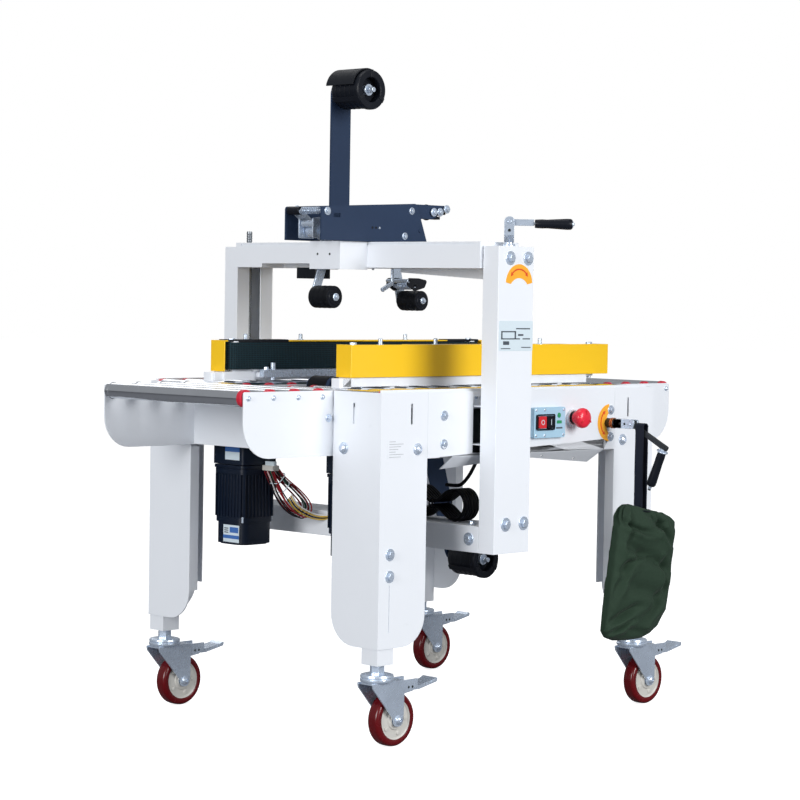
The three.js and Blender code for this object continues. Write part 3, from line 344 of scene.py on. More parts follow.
ORANGE = moulded("orange_sticker", linear(250, 176, 52), 0.4, 0.00002, 0.03)
ORANGE_RED = moulded("orange_red_ink", linear(222, 72, 30), 0.45, 0.00002, 0.03)
PAPER = moulded("label_film", linear(214, 228, 236), 0.35, 0.00002, 0.03)
INK = moulded("label_ink", linear(74, 82, 92), 0.5, 0.00002, 0.05)
LABEL_BLUE = moulded("label_blue", linear(64, 110, 180), 0.4, 0.00002, 0.05)
# Near-black painted shade: the sheet behind the side-panel windows and the discs in small holes.
PAINTED_SHADE_DARK = moulded("painted_shade_dark", linear(22, 30, 30), 0.7)
WIRE_RADIUS = 1.4
WIRE_COLOURS = {
    "red": moulded("wire_red", linear(150, 24, 34), 0.4, 0.00002),
    "black": moulded("wire_black", linear(24, 20, 28), 0.4, 0.00002),
    "white": moulded("wire_white", linear(228, 226, 224), 0.4, 0.00002),
    "green": moulded("wire_green", linear(24, 110, 88), 0.4, 0.00002),
    "yellow": moulded("wire_yellow", linear(214, 178, 70), 0.4, 0.00002),
}
BAG_CLOTH = woven_cloth("bag_cloth", linear(35, 53, 40))
STRAP_WEB = woven_cloth("strap_webbing", linear(20, 26, 40), 0.002, 0.03)
BELT = belt_rubber()


# ---- mesh building
class Shape:
    """Vertices and faces in millimetres, with a material number for each face."""

    def __init__(self):
        self.verts = []
        self.faces = []
        self.slots = []

    def add(self, verts, faces, slot=0):
        base = len(self.verts)
        self.verts += [Vector(v) for v in verts]
        self.faces += [[base + i for i in face] for face in faces]
        self.slots += [slot] * len(faces)

    def move(self, matrix, start=0):
        for i in range(start, len(self.verts)):
            self.verts[i] = matrix @ self.verts[i]


def rounded(points, steps=6):
    """Outline with circular corners, from (u, v) or (u, v, radius) points."""
    made = []
    count = len(points)
    for i, point in enumerate(points):
        corner = Vector(point[:2])
        radius = point[2] if len(point) > 2 else 0
        if radius <= 0:
            made.append(tuple(corner))
            continue
        back = Vector(points[i - 1][:2]) - corner
        ahead = Vector(points[(i + 1) % count][:2]) - corner
        half = back.angle(ahead) / 2
        reach = min(radius / math.tan(half), back.length * 0.499, ahead.length * 0.499)
        radius = reach * math.tan(half)
        start = corner + back.normalized() * reach
        centre = corner + (back.normalized() + ahead.normalized()).normalized() * radius / math.sin(half)
        arm = start - centre
        sweep = math.pi - 2 * half
        side = 1 if back.x * ahead.y - back.y * ahead.x < 0 else -1
        for k in range(steps + 1):
            angle = side * sweep * k / steps
            cosine, sine = math.cos(angle), math.sin(angle)
            made.append((centre.x + arm.x * cosine - arm.y * sine, centre.y + arm.x * sine + arm.y * cosine))
    return made


def prism(shape, outline, facing, low, high, slot=0):
    """Plate with an outline, facing x, y or z, between two depths."""
    def point(u, v, depth):
        return {"x": (depth, u, v), "y": (u, depth, v), "z": (u, v, depth)}[facing]

    count = len(outline)
    verts = [point(u, v, low) for u, v in outline] + [point(u, v, high) for u, v in outline]
    faces = [list(range(count)), list(range(2 * count - 1, count - 1, -1))]
    faces += [[i, (i + 1) % count, (i + 1) % count + count, i + count] for i in range(count)]
    shape.add(verts, faces, slot)


def oblong(us, vs, radius=0, steps=3):
    """Outline of a rectangle, with rounded corners when a radius is given."""
    corners = [(us[0], vs[0]), (us[1], vs[0]), (us[1], vs[1]), (us[0], vs[1])]
    return rounded([(u, v, radius) for u, v in corners], steps)


def block(shape, xs, ys, zs, slot=0, radius=0.0, steps=3):
    """Box, with its upright edges rounded when a radius is given."""
    prism(shape, oblong(xs, ys, radius, steps), "z", zs[0], zs[1], slot)


def basis(axis):
    return Vector(axis).to_track_quat("Z", "Y").to_matrix().to_4x4()


def lathe(shape, origin, axis, profile, sides=32, slot=0, closed=False):
    """Round body about an axis from (radius, height) points; a slot per span may be given as a list."""
    place = Matrix.Translation(Vector(origin)) @ basis(axis)
    base = len(shape.verts)
    rings = []
    verts = []
    for radius, height in profile:
        if radius < 1e-6:
            rings.append([len(verts)])
            verts.append(place @ Vector((0, 0, height)))
            continue
        rings.append(list(range(len(verts), len(verts) + sides)))
        for k in range(sides):
            angle = 2 * math.pi * k / sides
            spot = Vector((radius * math.cos(angle), radius * math.sin(angle), height))
            verts.append(place @ spot)
    shape.verts += verts
    spans = list(zip(rings, rings[1:])) + ([(rings[-1], rings[0])] if closed else [])
    for number, (low, high) in enumerate(spans):
        part = slot[number] if isinstance(slot, (list, tuple)) else slot
        for k in range(sides):
            n = (k + 1) % sides
            if len(low) == 1 and len(high) == 1:
                continue
            if len(low) == 1:
                face = [low[0], high[k], high[n]]
            elif len(high) == 1:
                face = [low[k], low[n], high[0]]
            else:
                face = [low[k], low[n], high[n], high[k]]
            shape.faces.append([base + i for i in face])
            shape.slots.append(part)


def disc(shape, spot, axis, radius, height, sides=16, slot=0):
    """Low round button that stands on a face."""
    lathe(shape, spot, axis, [(0, -0.5), (radius, -0.5), (radius, height), (0, height)], sides, slot)


def rod(shape, start, end, radius, sides=20, slot=0, chamfer=0.5):
    """Round bar with small chamfers between two points."""
    start, end = Vector(start), Vector(end)
    length = (end - start).length
    chamfer = min(chamfer, radius * 0.4, length * 0.3)
    profile = [(0, 0), (radius - chamfer, 0), (radius, chamfer), (radius, length - chamfer)]
    profile += [(radius - chamfer, length), (0, length)]
    lathe(shape, start, end - start, profile, sides, slot)


def tube(shape, path, radius, sides=10, slot=0, closed=False):
    """Tube along a path, its section carried along without twisting."""
    points = [Vector(p) for p in path]
    count = len(points)
    tangents = []
    for i in range(count):
        before = points[i - 1] if i or closed else points[0]
        after = points[(i + 1) % count] if i < count - 1 or closed else points[-1]
        tangents.append((after - before).normalized())
    across = tangents[0].orthogonal().normalized()
    base = len(shape.verts)
    for i in range(count):
        across = (across - tangents[i] * across.dot(tangents[i])).normalized()
        up = tangents[i].cross(across)
        for k in range(sides):
            angle = 2 * math.pi * k / sides
            aside = points[i] + across * (radius * math.cos(angle))
            shape.verts.append(aside + up * (radius * math.sin(angle)))
    spans = count if closed else count - 1
    for i in range(spans):
        here, there = base + i * sides, base + (i + 1) % count * sides
        for k in range(sides):
            n = (k + 1) % sides
            shape.faces.append([here + k, here + n, there + n, there + k])
            shape.slots.append(slot)
    if not closed:
        shape.faces.append([base + k for k in range(sides)][::-1])
        shape.faces.append([base + (count - 1) * sides + k for k in range(sides)])
        shape.slots += [slot, slot]


def smooth_path(points, per_span=6):
    """Catmull-Rom points through a list of points."""
    knots = [Vector(p) for p in points]
    knots = [knots[0] * 2 - knots[1]] + knots + [knots[-1] * 2 - knots[-2]]
    made = []
    for i in range(1, len(knots) - 2):
        a, b, c, d = knots[i - 1 : i + 3]
        for k in range(per_span):
            t = k / per_span
            bend = (2 * a - 5 * b + 4 * c - d) * t * t
            twist = (3 * b - a - 3 * c + d) * t**3
            made.append(0.5 * (2 * b + (c - a) * t + bend + twist))
    made.append(knots[-2])
    return made


def piece(name, shape, body, materials, bevel=0.0, angle=35, replaces=()):
    """Turns a shape into an object that rides on a body."""
    mesh = bpy.data.meshes.new(name)
    mesh.from_pydata([at(*v) for v in shape.verts], [], shape.faces)
    for polygon, number in zip(mesh.polygons, shape.slots):
        polygon.material_index = number
    for material in materials:
        mesh.materials.append(material)
    work = bmesh.new()
    work.from_mesh(mesh)
    bmesh.ops.recalc_face_normals(work, faces=work.faces)
    work.to_mesh(mesh)
    work.free()
    mesh.shade_smooth()
    mesh.set_sharp_from_angle(angle=math.radians(angle))
    made = bpy.data.objects.new(name, mesh)
    bpy.context.scene.collection.objects.link(made)
    if bevel:
        add_bevel(made, bevel)
    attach(made, body)
    if replaces:
        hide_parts(*replaces)
    return made


def add_bevel(made, width):
    edge = made.modifiers.new("edge", "BEVEL")
    edge.width = width * MM
    edge.segments = 2
    edge.limit_method = "ANGLE"
    edge.angle_limit = math.radians(38)
    edge.use_clamp_overlap = True


def dress(node, material, bevel=0.6, merge=True):
    """Gives a CAD node its finish, with softened edges, and its flat faces merged unless it has slits."""
    shown = NODES[node]
    shown.data.materials.clear()
    shown.data.materials.append(material)
    for polygon in shown.data.polygons:
        polygon.material_index = 0
    weld = shown.modifiers.new("weld", "WELD")
    weld.merge_threshold = 0.00002
    if merge:
        flat = shown.modifiers.new("flat", "DECIMATE")
        flat.decimate_type = "DISSOLVE"
        flat.angle_limit = math.radians(0.6)
    add_bevel(shown, bevel)
    shown.data.shade_flat()


# ---- fasteners
def dome_bolt(shape, spot, axis, radius=10, slot=0):
    """Domed head with a socket on a washer."""
    height = radius * 0.62
    profile = [(0, -1), (radius * 1.12, -1), (radius * 1.12, 0.9), (radius * 0.98, 1.2)]
    profile += [
        (radius * 0.98 * math.cos(math.radians(a)), 1.2 + height * math.sin(math.radians(a)))
        for a in (15, 32, 50, 66)
    ]
    top = 1.2 + height * math.sin(math.radians(66))
    profile += [(radius * 0.36, top + 0.3), (radius * 0.34, top - 2), (0, top - 2)]
    lathe(shape, spot, axis, profile, 24, slot)


def hex_bolt(shape, spot, axis, across=10, slot=0, washer=True, height=4.5):
    """Hexagon head, chamfered, on a plain washer."""
    lift = 0
    if washer:
        r = across * 0.95
        lift = 1.5
        profile = [(0, -1), (r - 0.3, -1), (r, -0.6), (r, 1.1), (r - 0.4, lift), (0, lift)]
        lathe(shape, spot, axis, profile, 24, slot)
    r = across / 2 / math.cos(math.pi / 6)
    top = lift + height
    profile = [(0, lift - 1), (r, lift - 1), (r, top - 0.9), (r * 0.86, top), (0, top)]
    lathe(shape, spot, axis, profile, 6, slot)


def spring(shape, start, end, radius, wire, turns, slot=0):
    """Coil of wire between two points."""
    start, end = Vector(start), Vector(end)
    place = Matrix.Translation(start) @ basis(end - start)
    length = (end - start).length
    steps = int(turns * 14)
    path = []
    for k in range(steps + 1):
        angle = 2 * math.pi * turns * k / steps
        spot = Vector((radius * math.cos(angle), radius * math.sin(angle), length * k / steps))
        path.append(place @ spot)
    tube(shape, path, wire, 6, slot)


# ---- sheet metal that stays as CAD
LEGS = ["leg_near_infeed", "leg_far_infeed", "leg_near_outfeed", "leg_far_outfeed"]
for node in LEGS:
    dress(node, WHITE, 0.35, False)
for node in ["side_panel_near", "side_panel_far", "infeed_table_frame", "outfeed_table_frame"]:
    dress(node, WHITE, 0.9)
for node in ("column_near", "column_far", "crossbeam", "bridge"):
    dress(node, WHITE, 1.2)
for side in ("near", "far"):
    dress(f"carriage_{side}", WHITE, 0.8)
    dress(f"belt_cover_{side}", YELLOW, 1.2)
dress("head_frame", NAVY)
dress("lower_head", NAVY)
dress("front_roller_arm", ZINC, 0.5)
dress("rear_roller_arm", ZINC, 0.5)
dress("lift_crank_arm", ZINC, 0.7)
dress("width_crank_arm", DARK_BAR, 0.7)
dress("switch_box", PANEL_BLUE, 0.9)


# ---- rollers
ROLLER_Z = 639


def make_table_rollers():
    for end in ("infeed", "outfeed"):
        for number in range(1, 5):
            node = f"{end}_roller_{number}"
            x = (middle(node) - CENTRE).x / MM
            shape = Shape()
            inner, outer = 181, 192
            profile = [(0, -194), (4, -194), (4, -outer), (13.5, -outer)]
            profile += [(15.6, -outer + 1.5), (16, -inner - 1)]
            profile += [(15, -inner), (15, inner)]
            profile += [(16, inner + 1), (15.6, outer - 1.5), (13.5, outer), (4, outer), (4, 194), (0, 194)]
            slots = [2, 2, 1, 1, 1, 1, 0, 0, 0, 0, 0, 2, 2]
            lathe(shape, (x, 0, ROLLER_Z), (0, 1, 0), profile, 40, slots)
            finish = [BRIGHT, CAP_RED, ZINC]
            piece(node + "_tube", shape, node, finish, replaces=[node])


def make_bed():
    shape = Shape()
    first, pitch, count, full_from = -371.5, 59.9, 13, 90
    for i in range(count):
        x = first + i * pitch
        spans = [(-313, 313)] if x > full_from else [(-313, -59), (59, 313)]
        for low, high in spans:
            profile = [(0, low), (13, low), (15.4, low + 1), (15.4, low + 8), (14.8, low + 8.6)]
            profile += [(14.8, high - 8.6), (15.4, high - 8), (15.4, high - 1), (13, high), (0, high)]
            lathe(shape, (x, 0, ROLLER_Z), (0, 1, 0), profile, 28, [1, 1, 1, 1, 0, 1, 1, 1, 1])
    piece("bed_rollers", shape, "root", [BRIGHT, CAP_RED], replaces=["roller_bed"])
    rails = Shape()
    for sign in (-1, 1):
        for low, high, start, end in ((313, 316, -385, 377), (57, 60, -384, 112)):
            ys = sorted((sign * low, sign * high))
            block(rails, (start, end), ys, (622, 655 if low > 100 else 650))
        for x in [first + i * pitch for i in range(count)]:
            rod(rails, (x, sign * 312, ROLLER_Z), (x, sign * 317.6, ROLLER_Z), 4.5, 12, 1)
    piece("bed_rails", rails, "root", [WHITE, ZINC], 0.5)


# ---- castors
TRAIL, WHEEL_Z = 38, 50
CASTOR_X, CASTOR_Y = 368, 299.5


def make_castor(tag, sx, sy):
    x, y = sx * CASTOR_X, sy * CASTOR_Y
    fork = Shape()
    hex_bolt(fork, (x, y, 137), (0, 0, 1), 24, 0, False, 16.5)
    race = [(0, 122), (27, 122), (31, 124), (31.5, 128), (29.5, 130)]
    race += [(31, 132), (30, 136), (24, 137.6), (0, 137.6)]
    lathe(fork, (x, y, 0), (0, 0, 1), race, 36)
    wx = x + TRAIL
    crown = [(x - 27, y - 20.5, 9), (wx + 15, y - 20.5, 6), (wx + 15, y + 20.5, 6), (x - 27, y + 20.5, 9)]
    prism(fork, rounded(crown), "z", 118.5, 123)
    cheek = rounded(
        [(x - 31, 122, 2), (x - 29, 113, 5), (wx - 13, 52, 6), (wx - 10, 38, 10), (wx + 11, 38, 11)]
        + [(wx + 13, 60, 20), (wx + 14, 100, 4), (wx + 15, 122, 2)],
        6,
    )
    bracket = [(wx + 12, 122), (wx + 12, 97, 3), (wx + 36, 100, 6), (wx + 50, 108, 4), (wx + 50, 122)]
    bracket = rounded(bracket, 4)
    for side in (-1, 1):
        prism(fork, cheek, "y", *sorted((y + side * 17.4, y + side * 20.4)), 0)
        prism(fork, bracket, "y", *sorted((y + side * 16.6, y + side * 19.4)), 0)
        # Dark discs painted as the shade in the bracket's two holes.
        for hole in (26, 36):
            disc(fork, (wx + hole, y + side * 19.4, 108), (0, side, 0), 2.6, 0.15, 14, 1)
        dome_bolt(fork, (wx, y + side * 20.4, WHEEL_Z), (0, side, 0), 8)
    rod(fork, (wx, y - 20, WHEEL_Z), (wx, y + 20, WHEEL_Z), 5.5, 14)
    pedal = [(wx + 6, 100), (wx + 34, 101), (wx + 58, 101), (x + 140, 110), (x + 142, 114)]
    pedal += [(x + 138, 116), (wx + 56, 108), (wx + 30, 112), (wx + 6, 116)]
    prism(fork, rounded([(*p, 3) for p in pedal], 3), "y", y - 16.5, y + 16.5)
    lip = [(x + 126, 108, 1), (x + 141, 110.5, 1), (x + 142.5, 117.5, 1.5), (x + 139, 118.5, 1)]
    lip += [(x + 126, 112, 1)]
    prism(fork, rounded(lip, 2), "y", y - 17.5, y + 17.5)
    rod(fork, (wx + 20, y - 18.5, 105), (wx + 20, y + 18.5, 105), 4, 12)
    name = f"castor_fork_{tag}"
    piece(name + "_pressed", fork, name, [ZINC, PAINTED_SHADE_DARK], 0.5, replaces=[name])

    wheel = Shape()
    half = 13.5
    profile = [(7, -half - 1.5), (13, -half - 1.5), (14, -half), (18, -half + 0.5), (20, -half + 3)]
    profile += [(34, -half + 4), (37, -half + 1), (44.5, -half + 0.3), (48, -half + 2)]
    profile += [(49.7, -half + 5), (50, -half + 8)]
    slots = [2, 0, 0, 0, 0, 0, 1, 1, 1, 1]
    other = [(r, -h) for r, h in reversed(profile)]
    lathe(wheel, (wx, y, WHEEL_Z), (0, 1, 0), profile + other, 56, slots + [1] + slots[::-1] + [2], True)
    for k in range(5):
        angle = 2 * math.pi * k / 5
        spot = Vector((wx + 27 * math.cos(angle), 0, WHEEL_Z + 27 * math.sin(angle)))
        for side in (-1, 1):
            rib = (spot.x, y + side * (half - 4), spot.z)
            lathe(wheel, rib, (0, side, 0), [(0, -1), (4.4, -1), (4.4, 1.8), (3.4, 2.3), (0, 2.3)], 12)
    name = f"castor_wheel_{tag}"
    finish = [HUB_GREY, TYRE_RED, ZINC]
    piece(name + "_tread", wheel, name, finish, replaces=[name], angle=40)


# ---- side belts and motors
BELT_BOX = {"start": -335, "end": 388, "inner": 150, "outer": 190, "low": 677, "high": 730}


def make_belt(side, sign):
    b = BELT_BOX
    radius = (b["outer"] - b["inner"]) / 2
    mid = sign * (b["outer"] + b["inner"]) / 2
    loop = []
    turns = 16
    for centre, first in ((b["start"] + radius, math.pi / 2), (b["end"] - radius, -math.pi / 2)):
        for k in range(turns + 1):
            angle = first + math.pi * k / turns
            loop.append((centre + radius * math.cos(angle), mid + radius * math.sin(angle)))
    thick = 4
    shape = Shape()
    count = len(loop)
    inner = []
    for x, y in loop:
        hub = Vector((min(max(x, b["start"] + radius), b["end"] - radius), mid))
        spot = Vector((x, y))
        inner.append(tuple(spot + (hub - spot).normalized() * thick))
    rows = [(loop, b["low"]), (loop, b["high"]), (inner, b["high"]), (inner, b["low"])]
    verts = [(x, y, z) for row, z in rows for x, y in row]
    faces = []
    for r in range(4):
        for k in range(count):
            n = (k + 1) % count
            s = (r + 1) % 4
            faces.append([r * count + k, r * count + n, s * count + n, s * count + k])
    shape.add(verts, faces)
    piece(f"belt_{side}_rubber", shape, f"carriage_{side}", [BELT], 0.5, 30, [f"belt_{side}"])


def make_cover_details(side, sign):
    shape = Shape()
    if side == "far":
        for x0, x1 in ((-336, -173), (290, 388)):
            block(shape, (x0, x1), (157.5, 186), (730.5, 735.6), 1, 3)
    stud = [(0, 0), (7, 0), (7, 1.6), (4, 2.2), (4, 12), (3, 13), (0, 13)]
    for x in (-262, -112, 192):
        lathe(shape, (x, sign * 189, 733), (0, 0, 1), stud, 18)
    piece(f"cover_{side}_fittings", shape, f"carriage_{side}", [ZINC, BLACK_STEEL], 0.4)


def make_carriage_details(side, sign):
    shape = Shape()
    bar = sorted((sign * 134, sign * 146))
    block(shape, (-262, -62), bar, (662, 676))
    hex_bolt(shape, (-250, sign * 140, 676), (0, 0, 1), 9)
    rod(shape, (-232, sign * 140, 655), (-232, sign * 140, 690), 5, 16)
    for x in (BELT_BOX["start"] + 20, BELT_BOX["end"] - 20):
        rod(shape, (x, sign * 170, 664), (x, sign * 170, 733), 5, 16)
        hex_bolt(shape, (x, sign * 170, 732), (0, 0, 1), 12)
    nose = rounded([(-369, 167, 4), (-341, 167), (-341, 193), (-369, 193, 4)], 4)
    nose = [(x, sign * y) for x, y in nose]
    prism(shape, nose, "z", 654, 671.5, 1)
    piece(f"carriage_{side}_fittings", shape, f"carriage_{side}", [ZINC, WHITE], 0.5)


def make_motor(side, sign):
    x, y = -285, sign * 160
    shape = Shape()

    def square(half, corner, low, high, slot=0, steps=5):
        outline = oblong((x - half, x + half), (y - half, y + half), corner, steps)
        prism(shape, outline, "z", low, high, slot)

    square(45, 6, 491, 562)
    square(43.6, 8, 562, 566)
    square(45, 10, 483.5, 489.5)
    square(44, 12, 472, 483)
    square(41.8, 12, 386, 474)
    fins = 9
    for k in range(fins):
        offset = -36 + 72 * k / (fins - 1)
        for face in (-1, 1):
            across = (x + offset - 1.4, x + offset + 1.4)
            block(shape, across, sorted((y + face * 36, y + face * 43.6)), (388, 472))
            across = (y + offset - 1.4, y + offset + 1.4)
            block(shape, sorted((x + face * 36, x + face * 43.6)), across, (388, 472))
    square(43.8, 18, 377, 387)
    square(42, 20, 335, 377)
    square(38, 20, 333, 335.2)
    lathe(shape, (x, y, 566), (0, 0, 1), [(0, -1), (22, -1), (22, 14), (20, 17), (9, 18), (0, 18)])
    rod(shape, (x, y, 580), (x, y, 654), 8, 20, 1)
    lathe(shape, (x, y, 600), (0, 0, 1), [(0, 0), (13, 0), (14, 1), (14, 19), (13, 20), (0, 20)], 24, 1)
    for cx, cy in ((-36, -36), (36, -36), (36, 36), (-36, 36)):
        hex_bolt(shape, (x + cx, y + cy, 566), (0, 0, 1), 8, 1)
        rod(shape, (x + cx, y + cy, 377), (x + cx, y + cy, 389), 4, 12, 1)
    # labels on the infeed side: depths along x, span along y, span up and material number
    upper, film, ink = (x - 45.4, x - 44.6), (x - 43, x - 42), (x - 43.3, x - 42.6)
    prints = [(upper, -34, 8, 500, 516, 3), (upper, -34, 8, 516, 540, 4), (film, -33, 13, 338, 372, 3)]
    prints += [(ink, -33, 13, 345, 352, 4), (ink, -31, -6, 357, 368, 4)]
    prints += [(ink, -2, 10, 356 + 4 * k, 358 + 4 * k, 5) for k in range(3)]
    for depth, start, end, low, high, slot in prints:
        block(shape, depth, (y + start, y + end), (low, high), slot)
    finish = [MOTOR_BLUE, ZINC, BLACK_STEEL, PAPER, LABEL_BLUE, INK]
    node = f"motor_{side}"
    piece(f"{node}_housing", shape, f"carriage_{side}", finish, 0.6, 35, [node])


# ---- taping heads
REEL = (-147, 1226)
LOWER_REEL = (208, 285)
FRONT_ROLLER = (-226, 822)
REAR_ROLLER = (17, 817)


def make_reel_hub(node, spot, leaf):
    x, z = spot
    shape = Shape()
    profile = [(6, 40), (30, 40), (33, 38.5), (35.5, 34), (35.5, -27), (38.3, -28), (38.6, -31)]
    profile += [(38.6, -38), (37.2, -40), (25.5, -40), (24, -38.5), (24, -22), (6, -22)]
    lathe(shape, (x, 0, z), (0, 1, 0), profile, 56, 0, True)
    for k in range(3):
        angle = math.radians(90 + 120 * k)
        spoke = Matrix.Translation(Vector((x, 0, z))) @ Matrix.Rotation(-angle, 4, "Y")
        start = len(shape.verts)
        block(shape, (33, 39.4), (-39, 34), (-5, 5))
        block(shape, (24, 36.5), (-41.2, -37), (-3.4, 3.4), 1)
        shape.move(spoke, start)
    band = [(35.4, -0.7), (36.2, -0.7), (36.2, 0.7), (35.4, 0.7)]
    for k in range(4):
        lathe(shape, (x, -14 + 13 * k, z), (0, 1, 0), band, 48, 1, True)
    finish = [BLACK_PLASTIC, BLACK_STEEL]
    piece(node + "_drum", shape, node, finish, 0.4, replaces=[node])
    body = "bridge" if leaf else "root"
    bolt = Shape()
    rod(bolt, (x, 44, z), (x, -46, z), 5)
    hex_bolt(bolt, (x, -31, z), (0, -1, 0), 12, 0, True, 6)
    hex_bolt(bolt, (x, -37.5, z), (0, -1, 0), 10, 0, False, 5)
    spring(bolt, (x, -21, z), (x, -30, z), 9, 1.1, 3)
    hex_bolt(bolt, (x, 48.4, z), (0, 1, 0), 12)
    if leaf:
        angles = [math.radians(72 + 6 * k) for k in range(17)]
        leaf_shape = [(x + 39.8 * math.cos(a), z + 39.8 * math.sin(a)) for a in angles]
        leaf_shape += [(x + 42.6 * math.cos(a), z + 42.6 * math.sin(a)) for a in reversed(angles)]
        prism(bolt, leaf_shape, "y", -28, 46, 1)
    piece(node + "_spindle", bolt, body, [ZINC, BLACK_STEEL], 0.3)


def make_tape_roller(node, x, z, radius):
    shape = Shape()
    half = 27.5
    left = [(4.7, -half), (radius - 7, -half), (radius - 6.4, -half + 1), (radius - 1.6, -half + 1)]
    left += [(radius, -half + 2.6)]
    profile = left + [(r, -y) for r, y in reversed(left)]
    lathe(shape, (x, 0, z), (0, 1, 0), profile, 44, [1, 1, 1, 0, 0, 0, 1, 1, 1, 1], True)
    band = [(radius - 0.3, -1), (radius + 0.35, -1), (radius + 0.35, 1), (radius - 0.3, 1)]
    for y in (-14, 0, 14):
        lathe(shape, (x, y, z), (0, 1, 0), band, 44, 0, True)
    piece(node + "_tyre", shape, node, [BLACK_RUBBER, BLACK_PLASTIC], 0, 35, [node])


def make_head_details():
    shape = Shape()
    near, far = -51.5, 51.5
    for x, z, size in ((-273, 986, 8.5), (-42, 994, 7.5), (-61, 944, 7.5)):
        hex_bolt(shape, (x, near - 0.4, z), (0, -1, 0), size, 0, True, 3)
    for x, z in ((-273, 986), (-42, 994), (-61, 944), (-18, 956)):
        hex_bolt(shape, (x, far + 0.4, z), (0, 1, 0), 9, 0, True, 3)
    # Small discs for holes: the two black ones are painted shade in them, and the third is zinc.
    for x, slot in ((-151, 3), (-141, 3), (-131, 0)):
        lathe(shape, (x, near - 0.2, 958), (0, -1, 0), [(0, 0), (2.4, 0), (2.4, 0.4), (0, 0.4)], 14, slot)
    rod(shape, (-283, -45, 987), (-283, 45, 987), 3, 14)
    spring(shape, (-283, -40, 987), (-283, 10, 987), 6, 1.1, 10)
    rod(shape, (-283, 12, 987), (-283, 44, 987), 8, 20, 2)
    # guide rollers and their zinc bracket below the tension rod
    bracket = rounded([(-286, 934, 3), (-246, 934, 3), (-246, 962, 6), (-268, 975, 6), (-286, 972, 3)], 4)
    prism(shape, bracket, "y", -26, -23)
    prism(shape, bracket, "y", 12, 15)
    rod(shape, (-262, -30, 948), (-262, 24, 948), 3, 14)
    rod(shape, (-262, -22, 948), (-262, 11, 948), 11, 28, 0, 1.5)
    rod(shape, (-278, -22, 962), (-278, 11, 962), 6)
    hex_bolt(shape, (-262, -30, 948), (0, -1, 0))
    # tape guide jaws on the outfeed side
    for z, reach in ((983, 44), (999, 52)):
        block(shape, (-16, reach), (-47, -33), (z - 3, z + 3), 3)
    block(shape, (40, 60), (-47, 22), (990, 1004), 3)
    for x, z in ((21, 994), (38.6, 994.5), (58, 1001)):
        hex_bolt(shape, (x, -52.2, z), (0, -1, 0), 9)
    rod(shape, (22, -44, 994), (22, 34, 994), 12.5, 30, 2, 1.5)
    for y in (-30, 20):
        lathe(shape, (22, y, 994), (0, 1, 0), [(12, -1), (16, -1), (16, 1), (12, 1)], 30, 3, True)
    block(shape, (REEL[0] - 26.4, REEL[0] + 26.4), (44.3, 50), (958, 972), 3)
    for x in (REEL[0] - 14, REEL[0] + 14):
        hex_bolt(shape, (x, 44, 966), (0, -1, 0))
    # slanting guide tube of the tape path
    rod(shape, (-100, -30, 837), (-72, -30, 851), 4.5, 16)
    rod(shape, (-72, -30, 851), (-72, -30, 929), 3, 12)
    slots = [ZINC, NAVY, BLACK_PLASTIC, BLACK_STEEL]
    piece("upper_head_fittings", shape, "bridge", slots, 0.3)


def roller_axle(shape, x, z, head):
    """Axle of a tape roller, with a nut at the far end and a small head at the near one."""
    hex_bolt(shape, (x, 33.6, z), (0, 1, 0), 12)
    hex_bolt(shape, (x, -29.6, z), (0, -1, 0), head)
    rod(shape, (x, -30, z), (x, 33, z), 4.2, 16)


def make_arm_details():
    front = Shape()
    roller_axle(front, *FRONT_ROLLER, 8)
    rod(front, (-187, 30, 926), (-187, 5, 926), 5, 16)
    piece("front_arm_fittings", front, "front_roller_arm", [ZINC], 0.3)
    rear = Shape()
    roller_axle(rear, *REAR_ROLLER, 7)
    guard = rounded([(-30, 848, 4), (-8, 836, 5), (20, 843, 6), (28, 858, 4), (2, 862, 5), (-26, 862, 4)], 4)
    prism(rear, guard, "y", -31, -28.6, 1)
    prism(rear, guard, "y", 26, 29, 1)
    rod(rear, (-26, -31, 856), (-26, 30, 856), 4, 14)
    rod(rear, (-8, -31, 846), (-8, 30, 846), 4, 14)
    spring(rear, (-8, -22, 846), (-8, 16, 846), 6.4, 1.1, 9)
    piece("rear_arm_fittings", rear, "rear_roller_arm", [ZINC, BLACK_STEEL], 0.3)


def make_lower_details():
    shape = Shape()
    for x, z, size in ((-272, 590, 12), (-110, 590, 12), (110, 590, 12)):
        hex_bolt(shape, (x, -52.6, z), (0, -1, 0), size)
        hex_bolt(shape, (x, 52.6, z), (0, 1, 0), size)
    for x in (-226, 17):
        rod(shape, (x, -27, 648), (x, 27, 648), 20.6, 40, 1, 2)
        hex_bolt(shape, (x, -34, 648), (0, -1, 0), 11)
    piece("lower_head_fittings", shape, "root", [ZINC, BLACK_RUBBER], 0.3)


# ---- gantry details
COLUMN_FACE = 381.5
PANEL_FACE = 323.1
LABEL_LIFT = 0.1


def arc_sticker(shape, centre, face_y, turn, scale_slot, arrow_slot):
    """Crescent scale sticker with a plain two-ended arrow, on a face that looks along -y."""
    outer, inner, drop = 37, 29.5, 18.5
    spin = math.radians(turn)

    def spot(radius, degrees, shift=0.0):
        u, v = radius * math.cos(math.radians(degrees)), radius * math.sin(math.radians(degrees)) - shift
        return (
            centre[0] + u * math.cos(spin) - v * math.sin(spin),
            centre[1] + u * math.sin(spin) + v * math.cos(spin),
        )

    crescent = [spot(outer, 4 + 172 * k / 24) for k in range(25)]
    crescent += [spot(inner, 142 - 104 * k / 16, drop) for k in range(17)]
    prism(shape, crescent, "y", face_y - 0.5, face_y, scale_slot)
    arrow, half = 27.5, 1.3
    line = [spot(arrow + half, 46 + 88 * k / 12) for k in range(13)]
    line += [spot(arrow - half, 134 - 88 * k / 12) for k in range(13)]
    prism(shape, line, "y", face_y - 0.8, face_y - 0.4, arrow_slot)
    for base, tip in ((46, 30), (134, 150)):
        prism(shape, [spot(arrow, tip), spot(arrow + 4, base), spot(arrow - 4, base)], "y",
              face_y - 0.8, face_y - 0.4, arrow_slot)


